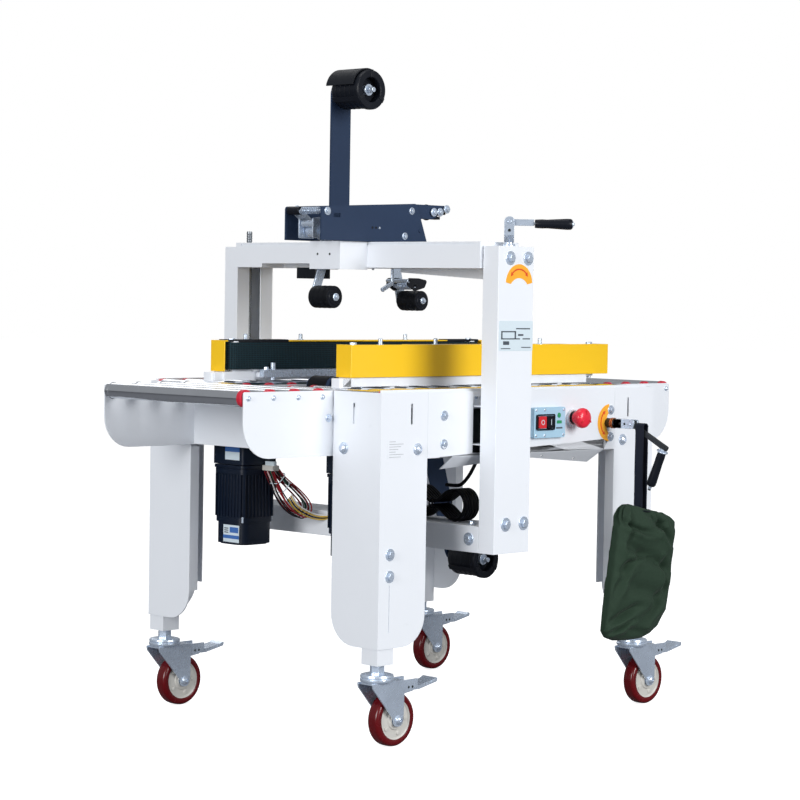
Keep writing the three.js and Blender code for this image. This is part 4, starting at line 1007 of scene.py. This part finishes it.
def label(shape, xs, zs, face_y, film, ink, lines):
    """Film label with plain bars for its print."""
    prism(shape, oblong(xs, zs, 2, 2), "y", face_y - 0.35, face_y, film)
    width, height = xs[1] - xs[0], zs[1] - zs[0]
    for u0, v0, u1, v1 in lines:
        across = (xs[0] + u0 * width, xs[0] + u1 * width)
        up = (zs[0] + v0 * height, zs[0] + v1 * height)
        prism(shape, oblong(across, up), "y", face_y - 0.55, face_y - 0.3, ink)


def make_openings():
    """What shows through the windows of the side panels: a dark sheet of painted shade behind white ledges.
    Also painted shade discs in two holes of the nose, and the small black stop under the bridge.
    """
    for side, sign in (("near", -1), ("far", 1)):
        shape = Shape()
        # Dark sheet standing in for the shadowed inside: painted shade.
        block(shape, (-152, 5), sorted((sign * 306.5, sign * 309.5)), (530, 620))
        for low in (549, 617.5):
            block(shape, (-152, 5), sorted((sign * 309.5, sign * 318)), (low, low + 2.5), 1)
        piece(f"window_{side}_shade_sheet", shape, "root", [PAINTED_SHADE_DARK, WHITE], 0.3)
    stop = Shape()
    block(stop, (-150, -110), (105, 165), (858, 880), 0, 4)
    piece("bridge_stop", stop, "bridge", [BLACK_PLASTIC], 1)
    hole_shade_discs = Shape()
    # Dark discs painted as the shade in two small holes of the nose.
    for y, z in ((-14, 905), (20, 905)):
        disc(hole_shade_discs, (-229, y, z), (-1, 0, 0), 2.4, 0.2, 14)
    piece("nose_hole_shade", hole_shade_discs, "bridge", [PAINTED_SHADE_DARK])


# Wires of the far motor: colour, place along y, and how far the fold reaches beyond the middle one.
WIRES = [
    ("red", 112, 0), ("black", 109.1, 7), ("red", 106.2, -5), ("white", 103.3, 4), ("red", 100.4, -9),
    ("black", 97.5, 9), ("green", 94.6, -3), ("red", 91.7, 2), ("black", 88.8, -6), ("red", 85.9, 6),
]


def make_wires():
    """Spare wire of the far motor, folded once into a bundle, and the tails that go on from it."""
    for number, (colour, y, more) in enumerate(WIRES):
        route = [(-268, y, 490), (-250, y, 471), (-230 + more / 3, y, 453 + more / 3)]
        route += [(-207 + more / 2, y, 436 + more / 2), (-186 + more, y, 418)]
        route += [(-178 + more, y, 403 - more / 2), (-188 + more / 2, y, 391 - more)]
        route += [(-208, y, 394 - more / 2), (-230 - more / 3, y, 411 - more / 2)]
        route += [(-248 - more / 3, y, 432 - more / 3), (-263 - more / 4, y, 456), (-276, y, 478)]
        lay_wire(f"motor_wire_{number}", colour, route)
    for number, colour in enumerate(("yellow", "black", "yellow", "white")):
        y, lift = 82.9 - 3 * number, 3 * number
        route = [(-238, y, 424 + lift), (-222, y, 405 + lift), (-198, y, 391 + lift)]
        route += [(-170, y - 2, 381 + lift), (-150, y - 14, 380 + lift), (-141, y - 30, 389 + lift)]
        route += [(-133, y - 44, 399.5 + lift / 3), (-116, y - 54 - lift, 399.5)]
        lay_wire(f"motor_tail_{number}", colour, route)
    shape = Shape()
    block(shape, (-281, -262), (84, 114.4), (480, 490), 0, 2)
    block(shape, (-276, -267), (86, 112), (488, 498), 1, 2)
    for x, z in ((-252, 466), (-240, 448)):
        band = rounded([(-17, 83.6, 8), (11, 83.6, 8), (11, 114, 8), (-17, 114, 8)], 5)
        tube(shape, [(x + u * 0.72, y, z + u * 0.69) for u, y in band], 1, 8, 1, True)
    piece("motor_wire_connector", shape, "carriage_far", [HUB_GREY, PAPER], 0.4)


def lay_wire(name, colour, route):
    shape = Shape()
    path = smooth_path(route, 5)
    tube(shape, path, WIRE_RADIUS)
    made = piece(name, shape, "carriage_far", [WIRE_COLOURS[colour]])


def make_gantry_details():
    for side, sign in (("near", -1), ("far", 1)):
        shape = Shape()
        face = sign * COLUMN_FACE
        for z in (900, 402):
            for dx in (-17, 33):
                hex_bolt(shape, (-99 + dx, face, z), (0, sign, 0), 14, 0, True, 6)
        bush = [(7, -1), (12, -1), (12, 3), (11, 4), (7, 4)]
        lathe(shape, (-99, sign * 362, 922), (0, 0, 1), bush, 26, 0, True)
        hex_bolt(shape, (-120, sign * 300, 397), (0, 0, 1), 9)
        if side == "near":
            hex_bolt(shape, (-148, -318, 372), (-1, 0, 0), 13)
        piece(f"column_{side}_bolts", shape, "root", [ZINC], 0.3)
    make_openings()
    stickers = Shape()
    arc_sticker(stickers, (-90.5, 852), -COLUMN_FACE, 0, 0, 1)
    lines = [(0.06, 0.62, 0.5, 0.66), (0.06, 0.4, 0.1, 0.66), (0.46, 0.4, 0.5, 0.66)]
    lines += [(0.06, 0.38, 0.62, 0.42), (0.56, 0.5, 0.72, 0.56), (0.7, 0.38, 0.92, 0.42)]
    lines += [(0.5, 0.72, 0.92, 0.76), (0.66, 0.1, 0.94, 0.13), (0.06, 0.06, 0.34, 0.09)]
    lines += [(0.12, 0.2, 0.3, 0.32)]
    label(stickers, (-144, -49.8), (727, 783), -COLUMN_FACE - LABEL_LIFT, 2, 3, lines)
    arc_sticker(stickers, (254, 581), -PANEL_FACE, 90, 0, 1)
    rows = [(0.1, 0.84 - 0.13 * k, 0.4 + 0.5 * ((k * 7) % 4) / 4, 0.86 - 0.13 * k) for k in range(7)]
    label(stickers, (-375, -321), (531, 567), -PANEL_FACE, 4, 5, rows)
    finish = [ORANGE, ORANGE_RED, PAPER, INK, WHITE, GREY_STEEL]
    piece("stickers", stickers, "root", finish)


def make_leg_details():
    dull = Shape()
    for sx in (-1, 1):
        for sy in (-1, 1):
            dome_bolt(dull, (sx * 295.5, sy * 323, 546), (0, sy, 0))
            dome_bolt(dull, (sx * 391.5, sy * 228, 546), (sx, 0, 0))
            for z in (356, 316):
                hex_bolt(dull, (sx * 363.5, sy * 323, z), (0, sy, 0), 12)
    for sx, tip in ((-1, -611), (1, 604)):
        for k in range(4):
            x = tip - sx * (11 + 60.7 * k)
            for sy in (-1, 1):
                dome_bolt(dull, (x, sy * 197, ROLLER_Z), (0, sy, 0), 4.6)
        for sy in (-1, 1):
            hex_bolt(dull, (sx * 402, sy * 197, 600), (0, sy, 0), 8)
    for x in (257, -226):
        for z in (606, 553):
            hex_bolt(dull, (x, -323, z), (0, -1, 0))
    piece("frame_bolts", dull, "root", [ZINC], 0.2)


# ---- screws, cranks and controls
def thread(shape, start, end, radius, pitch, slot=0, sides=20):
    """Screwed bar: ridges all along it."""
    start, end = Vector(start), Vector(end)
    length = (end - start).length
    turns = int(length / pitch)
    profile = [(0, 0)]
    for k in range(turns):
        h = k * pitch
        profile += [(radius * 0.86, h), (radius, h + pitch * 0.3), (radius, h + pitch * 0.6)]
    profile += [(radius * 0.86, length), (0, length)]
    lathe(shape, start, end - start, profile, sides, slot)


CRANK_TURN = math.radians(-45.6)
SCREW_X, SCREW_Y = -99, 362
SCREW_RADIUS, SCREW_LEAD, SCREW_FOOT = 6, 5, 353


def make_lift():
    far = Shape()
    thread(far, (SCREW_X, SCREW_Y, SCREW_FOOT), (SCREW_X, SCREW_Y, 955), SCREW_RADIUS, SCREW_LEAD)
    node = "lift_screw_far"
    piece(node + "_thread", far, node, [BARE], replaces=[node])
    near = Shape()
    thread(near, (SCREW_X, -SCREW_Y, SCREW_FOOT), (SCREW_X, -SCREW_Y, 926), SCREW_RADIUS, SCREW_LEAD)
    start = len(near.verts)
    rod(near, (0, 0, 922), (0, 0, 934), 8.6, 24)
    for side in (-1, 1):
        ear = rounded([(-9, 930), (9, 930), (9, 978, 8), (-9, 978, 8)], 5)
        prism(near, ear, "y", *sorted((side * 4.2, side * 9)), 0)
        # Dark disc painted as the shade in the ear's hole.
        disc(near, (0, side * 9, 952), (0, side, 0), 3, 0.3, 16, 1)
    block(near, (-9, 9), (-9, 9), (930, 943))
    rod(near, (0, -11, 968), (0, 11, 968), 3.6, 16)
    turned = Matrix.Translation(Vector((SCREW_X, -SCREW_Y, 0))) @ Matrix.Rotation(CRANK_TURN, 4, "Z")
    near.move(turned, start)
    node = "lift_screw_near"
    piece(node + "_thread", near, node, [ZINC, PAINTED_SHADE_DARK], 0.4, replaces=[node])
    grip = Shape()
    profile = [(3.7, 48), (7.4, 48), (8, 49), (8.6, 62), (8.2, 70), (9.4, 90), (10.4, 108)]
    profile += [(10.2, 115), (8.4, 118), (3.7, 118)]
    lathe(grip, (0, 0, 965), (1, 0, 0), profile, 36, 0, True)
    cap = [(0, 117), (3.4, 117), (6.4, 118.2), (6, 119.6), (0, 120)]
    lathe(grip, (0, 0, 965), (1, 0, 0), cap, 24, 1)
    grip.move(turned)
    node = "lift_crank_grip"
    piece(node + "_moulding", grip, node, [BLACK_PLASTIC, ZINC], 0, 35, [node])


def make_width():
    shape = Shape()
    x, z = 247, 581
    rod(shape, (x, 319, z), (x, -352, z), 8, 28)
    thread(shape, (x, 300, z), (x, 100, z), 8.4, 4)
    thread(shape, (x, -100, z), (x, -300, z), 8.4, 4)
    collar = [(0, 0), (8.6, 0), (9.4, 1), (9.4, 20), (8.6, 21.5), (0, 21.5)]
    lathe(shape, (x, -345, z), (0, 1, 0), collar, 32, 1)
    washer = [(8.5, 0), (10.3, 0), (10.6, 0.6), (10.6, 2), (10.3, 2.6), (8.5, 2.6)]
    for y in (-339.5, -335.5):
        lathe(shape, (x, y, z), (0, -1, 0), washer, 32, 2, True)
    for side in (-1, 1):
        ear = rounded([(-396, z - 9, 4), (-345, z - 9), (-345, z + 9), (-396, z + 9, 4)], 4)
        prism(shape, ear, "x", *sorted((x + side * 4.2, x + side * 9)), 0)
        # Dark discs painted as the shade in the ears' holes.
        for y in (-362, -374):
            disc(shape, (x + side * 9, y, z), (side, 0, 0), 2.6, 0.3, 16, 3)
    block(shape, (x - 9, x + 9), (-366, -345), (z - 9, z + 9))
    rod(shape, (x - 11, -387, z), (x + 11, -387, z), 3.6, 16)
    finish = [ZINC, DARK_BAR, COPPER, PAINTED_SHADE_DARK]
    node = "width_shaft"
    piece(node + "_bar", shape, node, finish, 0.4, replaces=[node])
    top, bottom = Vector((x, -462, 528)), Vector((x, -436, 463))
    length = (bottom - top).length
    grip = Shape()
    profile = [(3.7, 0), (7.6, 0), (8.4, 1), (8.8, 12), (8.4, 20), (9, 40), (9.6, 60)]
    profile += [(9.2, length - 3), (7.6, length), (3.7, length)]
    lathe(grip, top, bottom - top, profile, 36, 0, True)
    node = "width_crank_grip"
    piece(node + "_moulding", grip, node, [BLACK_PLASTIC], 0, 35, [node])
    knob = Shape()
    hex_bolt(knob, tuple(top + (top - bottom).normalized() * 3), tuple(top - bottom), 12)
    rod(knob, tuple(bottom), tuple(bottom + (bottom - top).normalized() * 7), 3.4, 14)
    piece("width_crank_fittings", knob, "width_crank_arm", [ZINC], 0.3)


def make_controls():
    shape = Shape()
    x, z = 137, 594
    head = [(0, -18), (10, -17.6), (16, -15.6), (19, -12), (20, -7), (19.4, -3)]
    head += [(17, -0.6), (12, 0), (11.6, 10), (0, 10)]
    lathe(shape, (x, -344, z), (0, 1, 0), head, 44)
    rod(shape, (x, -336, z), (x, -302, z), 11.6, 24, 1)
    arrow = [(7, -1), (13, -1), (13, -2.6), (16.5, 0), (13, 2.6), (13, 1), (7, 1)]
    upright = Matrix.Rotation(math.radians(90), 4, "X")
    for k in range(3):
        angle = math.radians(90 + 120 * k)
        start = len(shape.verts)
        prism(shape, arrow, "z", 0, 0.6, 2)
        place = Matrix.Translation(Vector((x, -361.8, z))) @ Matrix.Rotation(-angle, 4, "Y")
        shape.move(place @ upright, start)
    finish = [STOP_RED, BLACK_PLASTIC, BUTTON_RED]
    node = "emergency_stop"
    piece(node + "_head", shape, node, finish, 0, 35, [node])
    buttons = [("stop", (23.5, 45.5), BUTTON_RED, "red_plastic")]
    buttons += [("start", (48, 70), BLACK_PLASTIC, "black_plastic")]
    for name, xs, material, slot in buttons:
        cap = Shape()
        prism(cap, oblong(xs, (576, 599), 2, 4), "y", -339, -328.6)
        mid = (xs[0] + xs[1]) / 2
        if name == "stop":
            ring = [(3.6, -0.5), (5, -0.5), (5, 0.4), (3.6, 0.4)]
            lathe(cap, (mid, -339.3, 587.5), (0, -1, 0), ring, 24, 1, True)
        else:
            block(cap, (mid - 0.8, mid + 0.8), (-339.6, -338.8), (582, 593), 1)
        body = f"{name}_button"
        piece(f"{body}_cap", cap, body, [material, PAPER], 0.8, 35, [body])
    trim = Shape()
    face = -333
    outer = oblong((20, 73.5), (572, 603), 3, 4)
    inner = oblong((22.6, 70.9), (574.8, 600.2), 2, 4)
    count = len(outer)
    verts = [(u, face + rise, v) for rise in (-3.6, -0.4) for u, v in outer + inner]
    faces = []
    for k in range(count):
        n = (k + 1) % count
        faces.append([k, n, count + n, count + k])
        faces.append([2 * count + k, 2 * count + n, n, k])
        faces.append([count + k, count + n, 3 * count + n, 3 * count + k])
        faces.append([2 * count + k, 2 * count + n, 3 * count + n, 3 * count + k])
    trim.add(verts, faces, 0)
    rivet = [(0, -0.5), (3, -0.5), (3, 0.8), (2, 1.4), (0, 1.4)]
    for z in (562, 611):
        for x in (21, 46, 101):
            lathe(trim, (x, face, z), (0, -1, 0), rivet, 16, 1)
    disc(trim, (88, face, 600), (0, -1, 0), 5, 0.6, 24, 2)
    block(trim, (82, 96), (face - 0.7, face + 0.3), (584, 590), 2)
    block(trim, (80, 98), (face - 0.7, face + 0.3), (574, 577), 3)
    piece("switch_trim", trim, "root", [BLACK_PLASTIC, ZINC, GREEN_MARK, INK], 0.3)


# ---- bag
BAG = {"x": 247, "y": -420, "low": 164, "high": 417}
BAG_HALF_DEPTH, BAG_LOWEST = 27.5, 163.4
# Rows of the bag from its base up: height share, sideways lean, half width, half depth.
BAG_ROWS = [
    (0.00, -46, 42, 9), (0.03, -44, 66, 16), (0.08, -38, 80, 22), (0.20, -24, 89, 26), (0.45, -12, 91, 27),
    (0.70, -2, 90, 26.5), (0.84, 2, 89, 23), (0.92, 2, 84, 17), (0.97, -1, 70, 10), (1.00, -4, 54, 5),
]
# Folds of the cloth: two ends as (sideways, height share), width in mm and depth in mm.
BAG_FOLDS = [
    ((-74, 0.88), (-6, 0.80), 7, 8.5), ((-6, 0.80), (48, 0.90), 9, 6.0),
    ((-62, 0.72), (76, 0.50), 13, 10.0), ((10, 0.96), (74, 0.72), 11, 9.0),
    ((-78, 0.54), (-20, 0.66), 10, 6.5), ((-84, 0.14), (-20, 0.27), 10, 9.5),
    ((-70, 0.06), (-30, 0.17), 7, 7.5), ((10, 0.12), (60, 0.36), 14, 7.5),
    ((-44, 0.42), (60, 0.30), 15, 6.0), ((-46, 0.97), (-66, 0.72), 8, 7.0),
    ((0, 0.99), (-14, 0.84), 6, 6.5), ((32, 0.98), (46, 0.82), 6, 6.0),
    ((-88, 0.30), (-60, 0.60), 9, 6.5), ((30, 0.05), (-30, 0.10), 7, 5.0),
    ((50, 0.60), (70, 0.30), 9, 6.0),
]


def bag_row(v):
    """Lean, half width and half depth of the bag at a height share."""
    for low, high in zip(BAG_ROWS, BAG_ROWS[1:]):
        if v <= high[0]:
            t = (v - low[0]) / (high[0] - low[0])
            return [a + (b - a) * t for a, b in zip(low[1:], high[1:])]
    return BAG_ROWS[-1][1:]


def fold_depth(u, v):
    """How far the cloth sinks or rises at a point of the bag's front."""
    height = BAG["high"] - BAG["low"]
    total = 0.0
    for (u0, v0), (u1, v1), width, depth in BAG_FOLDS:
        start, along = Vector((u0, v0 * height)), Vector((u1 - u0, (v1 - v0) * height))
        reach = Vector((u, v * height)) - start
        t = max(0.0, min(1.0, reach.dot(along) / along.length_squared))
        gap = reach - along * t
        side = 1 if gap.x * along.y - gap.y * along.x > 0 else -1
        distance = gap.length / width / 0.85
        fade = math.sin(math.pi * (0.15 + 0.7 * t))
        ridge = 0.55 * math.exp(-((distance - side * 1.4) ** 2))
        total += depth * fade * (math.exp(-distance * distance) - ridge)
    return total


def make_bag():
    shape = Shape()
    rows, around = 120, 180
    height = BAG["high"] - BAG["low"]
    for r in range(rows + 1):
        v = r / rows
        lean, a, b = bag_row(v)
        gather = max(0.0, (v - 0.86) / 0.14)
        for k in range(around):
            angle = 2 * math.pi * k / around
            c, sn = math.cos(angle), math.sin(angle)
            u = math.copysign(abs(c) ** 0.42, c) * a
            w = math.copysign(abs(sn) ** 0.5, sn) * b
            pucker = 1 + 0.16 * gather * math.sin(angle * 13 + 1.7 * math.sin(2 * angle))
            crumple = noise.noise(Vector((u * 0.018 + 3, w * 0.02, v * 5)))
            small = noise.noise(Vector((u * 0.06 + 9, w * 0.05, v * 15)))
            belly = 1 - (u / max(a, 1)) ** 2 * 0.35
            front = -1 if w < 0 else 1
            flank = 1 - (abs(u) / a) ** 8
            sink = 1.8 * fold_depth(u * front * -1, v) * min(1.0, abs(w) / 8) * flank
            y = w * belly * pucker + w * 0.09 * crumple - front * (sink - 0.9 * small) * 0.85
            droop = 5 * noise.noise(Vector((angle * 1.1, 1.5, 0))) * (1 - v) ** 3
            x = u * pucker + lean + 1.8 * crumple + 0.8 * small
            z = BAG["low"] + height * v + droop
            y = max(-BAG_HALF_DEPTH, min(BAG_HALF_DEPTH, y))
            slant = -16 * v ** 6 * (u / 78)
            shape.verts.append(Vector((BAG["x"] + x, BAG["y"] + y, max(BAG_LOWEST, z + slant))))
    for r in range(rows):
        here, there = r * around, (r + 1) * around
        for k in range(around):
            n = (k + 1) % around
            shape.faces.append([here + k, here + n, there + n, there + k])
            shape.slots.append(0)
    shape.faces.append(list(range(around))[::-1])
    shape.slots.append(0)
    shape.faces.append([rows * around + k for k in range(around)])
    shape.slots.append(0)
    bag = piece("tool_bag_cloth", shape, "tool_bag", [BAG_CLOTH], 0, 60, ["tool_bag"])
    make_strap()
    cord = Shape()
    neck = []
    for k in range(25):
        angle = 2 * math.pi * k / 24
        around_neck = (BAG["x"] - 3 + 22 * math.cos(angle), BAG["y"] + 7.5 * math.sin(angle))
        neck.append((*around_neck, 412 + 1.5 * math.sin(2 * angle)))
    tube(cord, neck[:-1], 1.4, 8, 0, True)
    piece("bag_drawcord", cord, "tool_bag", [BLACK_PLASTIC])


def web(shape, stations):
    """Webbing 20 mm wide through stations, each the x and z of its inner and its outer face."""
    for a, b in zip(stations, stations[1:]):
        verts = []
        for x0, x1, z0, z1 in (a, b):
            verts += [(x0, -421, z0), (x1, -421, z1), (x1, -401, z1), (x0, -401, z0)]
        shape.add(verts, [[0, 1, 5, 4], [1, 2, 6, 5], [2, 3, 7, 6], [3, 0, 4, 7]])


def make_strap():
    """The bag's webbing strap: two runs and an arch over the crank arm."""
    strap = Shape()
    top = 584
    for side in (-1, 1):
        x0, x1 = sorted((BAG["x"] + side * 5.8, BAG["x"] + side * 7.8))
        ribbon = []
        for k in range(13):
            z = 404 + (top - 6 - 404) * k / 12
            sway = 1.2 * math.sin(k * 0.9 + side)
            ribbon.append((x0 + sway * (k / 12) * 0.4, x1 + sway * (k / 12) * 0.4, z, z))
        web(strap, ribbon)
    arch = []
    for k in range(13):
        across, up = math.cos(math.pi * k / 12), math.sin(math.pi * k / 12)
        arch.append((BAG["x"] - 5.8 * across, BAG["x"] - 7.8 * across, 577.6 + 5 * up, 577.6 + 6.8 * up))
    web(strap, arch)
    piece("bag_strap", strap, "tool_bag", [STRAP_WEB], 0, 50)


# ---- mains lead
CORD_RADIUS = 3.5
HANK = {"x": -99, "y": -196, "length": 170, "height": 64, "floor": 397.3, "turns": 7, "pitch": 7.4}
GLAND = (6, -295, 570)


def hank_turn(x0, x1, stretch, points=28):
    """One turn of the hank: two end loops joined by runs that the tie draws together."""
    inset = CORD_RADIUS + 0.4
    radius = HANK["height"] / 2 - inset
    run = HANK["length"] - 2 * (radius + inset)
    around = 2 * run + 2 * math.pi * radius
    z = HANK["floor"] + HANK["height"] / 2
    draw = radius - CORD_RADIUS - 0.6
    made = []
    for k in range(points):
        s = around * k / points
        x = x0 + (x1 - x0) * k / points
        way = 1 if s < run + math.pi * radius else -1
        if way < 0:
            s = s - run - math.pi * radius
        if s < run:
            high = radius - draw * (1 - math.cos(2 * math.pi * s / run)) / 2
            made.append((x, HANK["y"] - way * (run / 2 - s), z + way * high))
        else:
            angle = way * math.pi / 2 - (s - run) / radius
            y = HANK["y"] + way * run / 2 + (radius - stretch) * math.cos(angle)
            made.append((x, y, z + radius * math.sin(angle)))
    return made


def make_cord():
    lead = [GLAND, (-20, -295, 570), (-48, -294, 566), (-72, -291, 551), (-87, -286, 528)]
    lead += [(-95, -279, 503), (-98, -268, 484), (-99, -252, 468.8)]
    first = HANK["x"] - HANK["turns"] * HANK["pitch"] / 2 + HANK["pitch"] / 2
    turns = []
    chance = random.Random(4)
    for k in range(HANK["turns"]):
        x0 = first + HANK["pitch"] * k
        last = first + HANK["pitch"] * (HANK["turns"] - 1)
        turns += hank_turn(x0, min(x0 + HANK["pitch"], last), chance.uniform(0, 5))
    return lead, turns


def build_cord():
    lead, turns = make_cord()
    lead_path = smooth_path(lead + [(-99, -236, 465.2), (-99, -212, 465.2)], 5)
    whole = smooth_path(turns, 4)
    shape = Shape()
    tube(shape, lead_path, CORD_RADIUS, 16)
    made = piece("cord_lead_sheath", shape, "root", [CORD_BLACK], 0, 35, ["cord_lead"])
    coil = Shape()
    tube(coil, whole, CORD_RADIUS, 12)
    made = piece("cord_hank_sheath", coil, "root", [CORD_BLACK], 0, 35, ["cord_hank"])
    tie = Shape()
    z = HANK["floor"] + HANK["height"] / 2
    half_x = HANK["turns"] * HANK["pitch"] / 2 + 1.2
    half_z = 2 * CORD_RADIUS + 2
    for y in (HANK["y"] - 5, HANK["y"] + 3):
        band = oblong((HANK["x"] - half_x, HANK["x"] + half_x), (z - half_z, z + half_z), 7, 6)
        tube(tie, [(u, y, v) for u, v in band], 1.6, 8, 0, True)
    piece("cord_tie", tie, "root", [BLACK_PLASTIC])
    relief = Shape()
    profile = [(3.7, 0), (7.4, 0), (7.4, 4), (6.4, 5), (6.8, 8), (5.6, 9), (6, 13), (5, 14)]
    profile += [(5.3, 18), (4.4, 19), (4.6, 24), (3.9, 26)]
    lathe(relief, (2, -295, 570), (-1, 0, 0), profile, 24)
    piece("cord_relief", relief, "root", [BLACK_RUBBER])
    dress("cord_plug", BLACK_PLASTIC, 1.2)


# ---- all of it
build_cord()
make_table_rollers()
make_bed()
CORNERS = [("near_infeed", -1, -1), ("far_infeed", -1, 1), ("near_outfeed", 1, -1), ("far_outfeed", 1, 1)]
for tag, sx, sy in CORNERS:
    make_castor(tag, sx, sy)
for side, sign in (("near", -1), ("far", 1)):
    make_belt(side, sign)
    make_cover_details(side, sign)
    make_carriage_details(side, sign)
    make_motor(side, sign)
make_reel_hub("reel_hub", REEL, True)
make_reel_hub("lower_reel_hub", LOWER_REEL, False)
make_tape_roller("front_tape_roller", *FRONT_ROLLER, 21.7)
make_tape_roller("rear_tape_roller", *REAR_ROLLER, 20)
make_head_details()
make_arm_details()
make_lower_details()
make_gantry_details()
make_wires()
make_leg_details()
make_lift()
make_width()
make_controls()
make_bag()
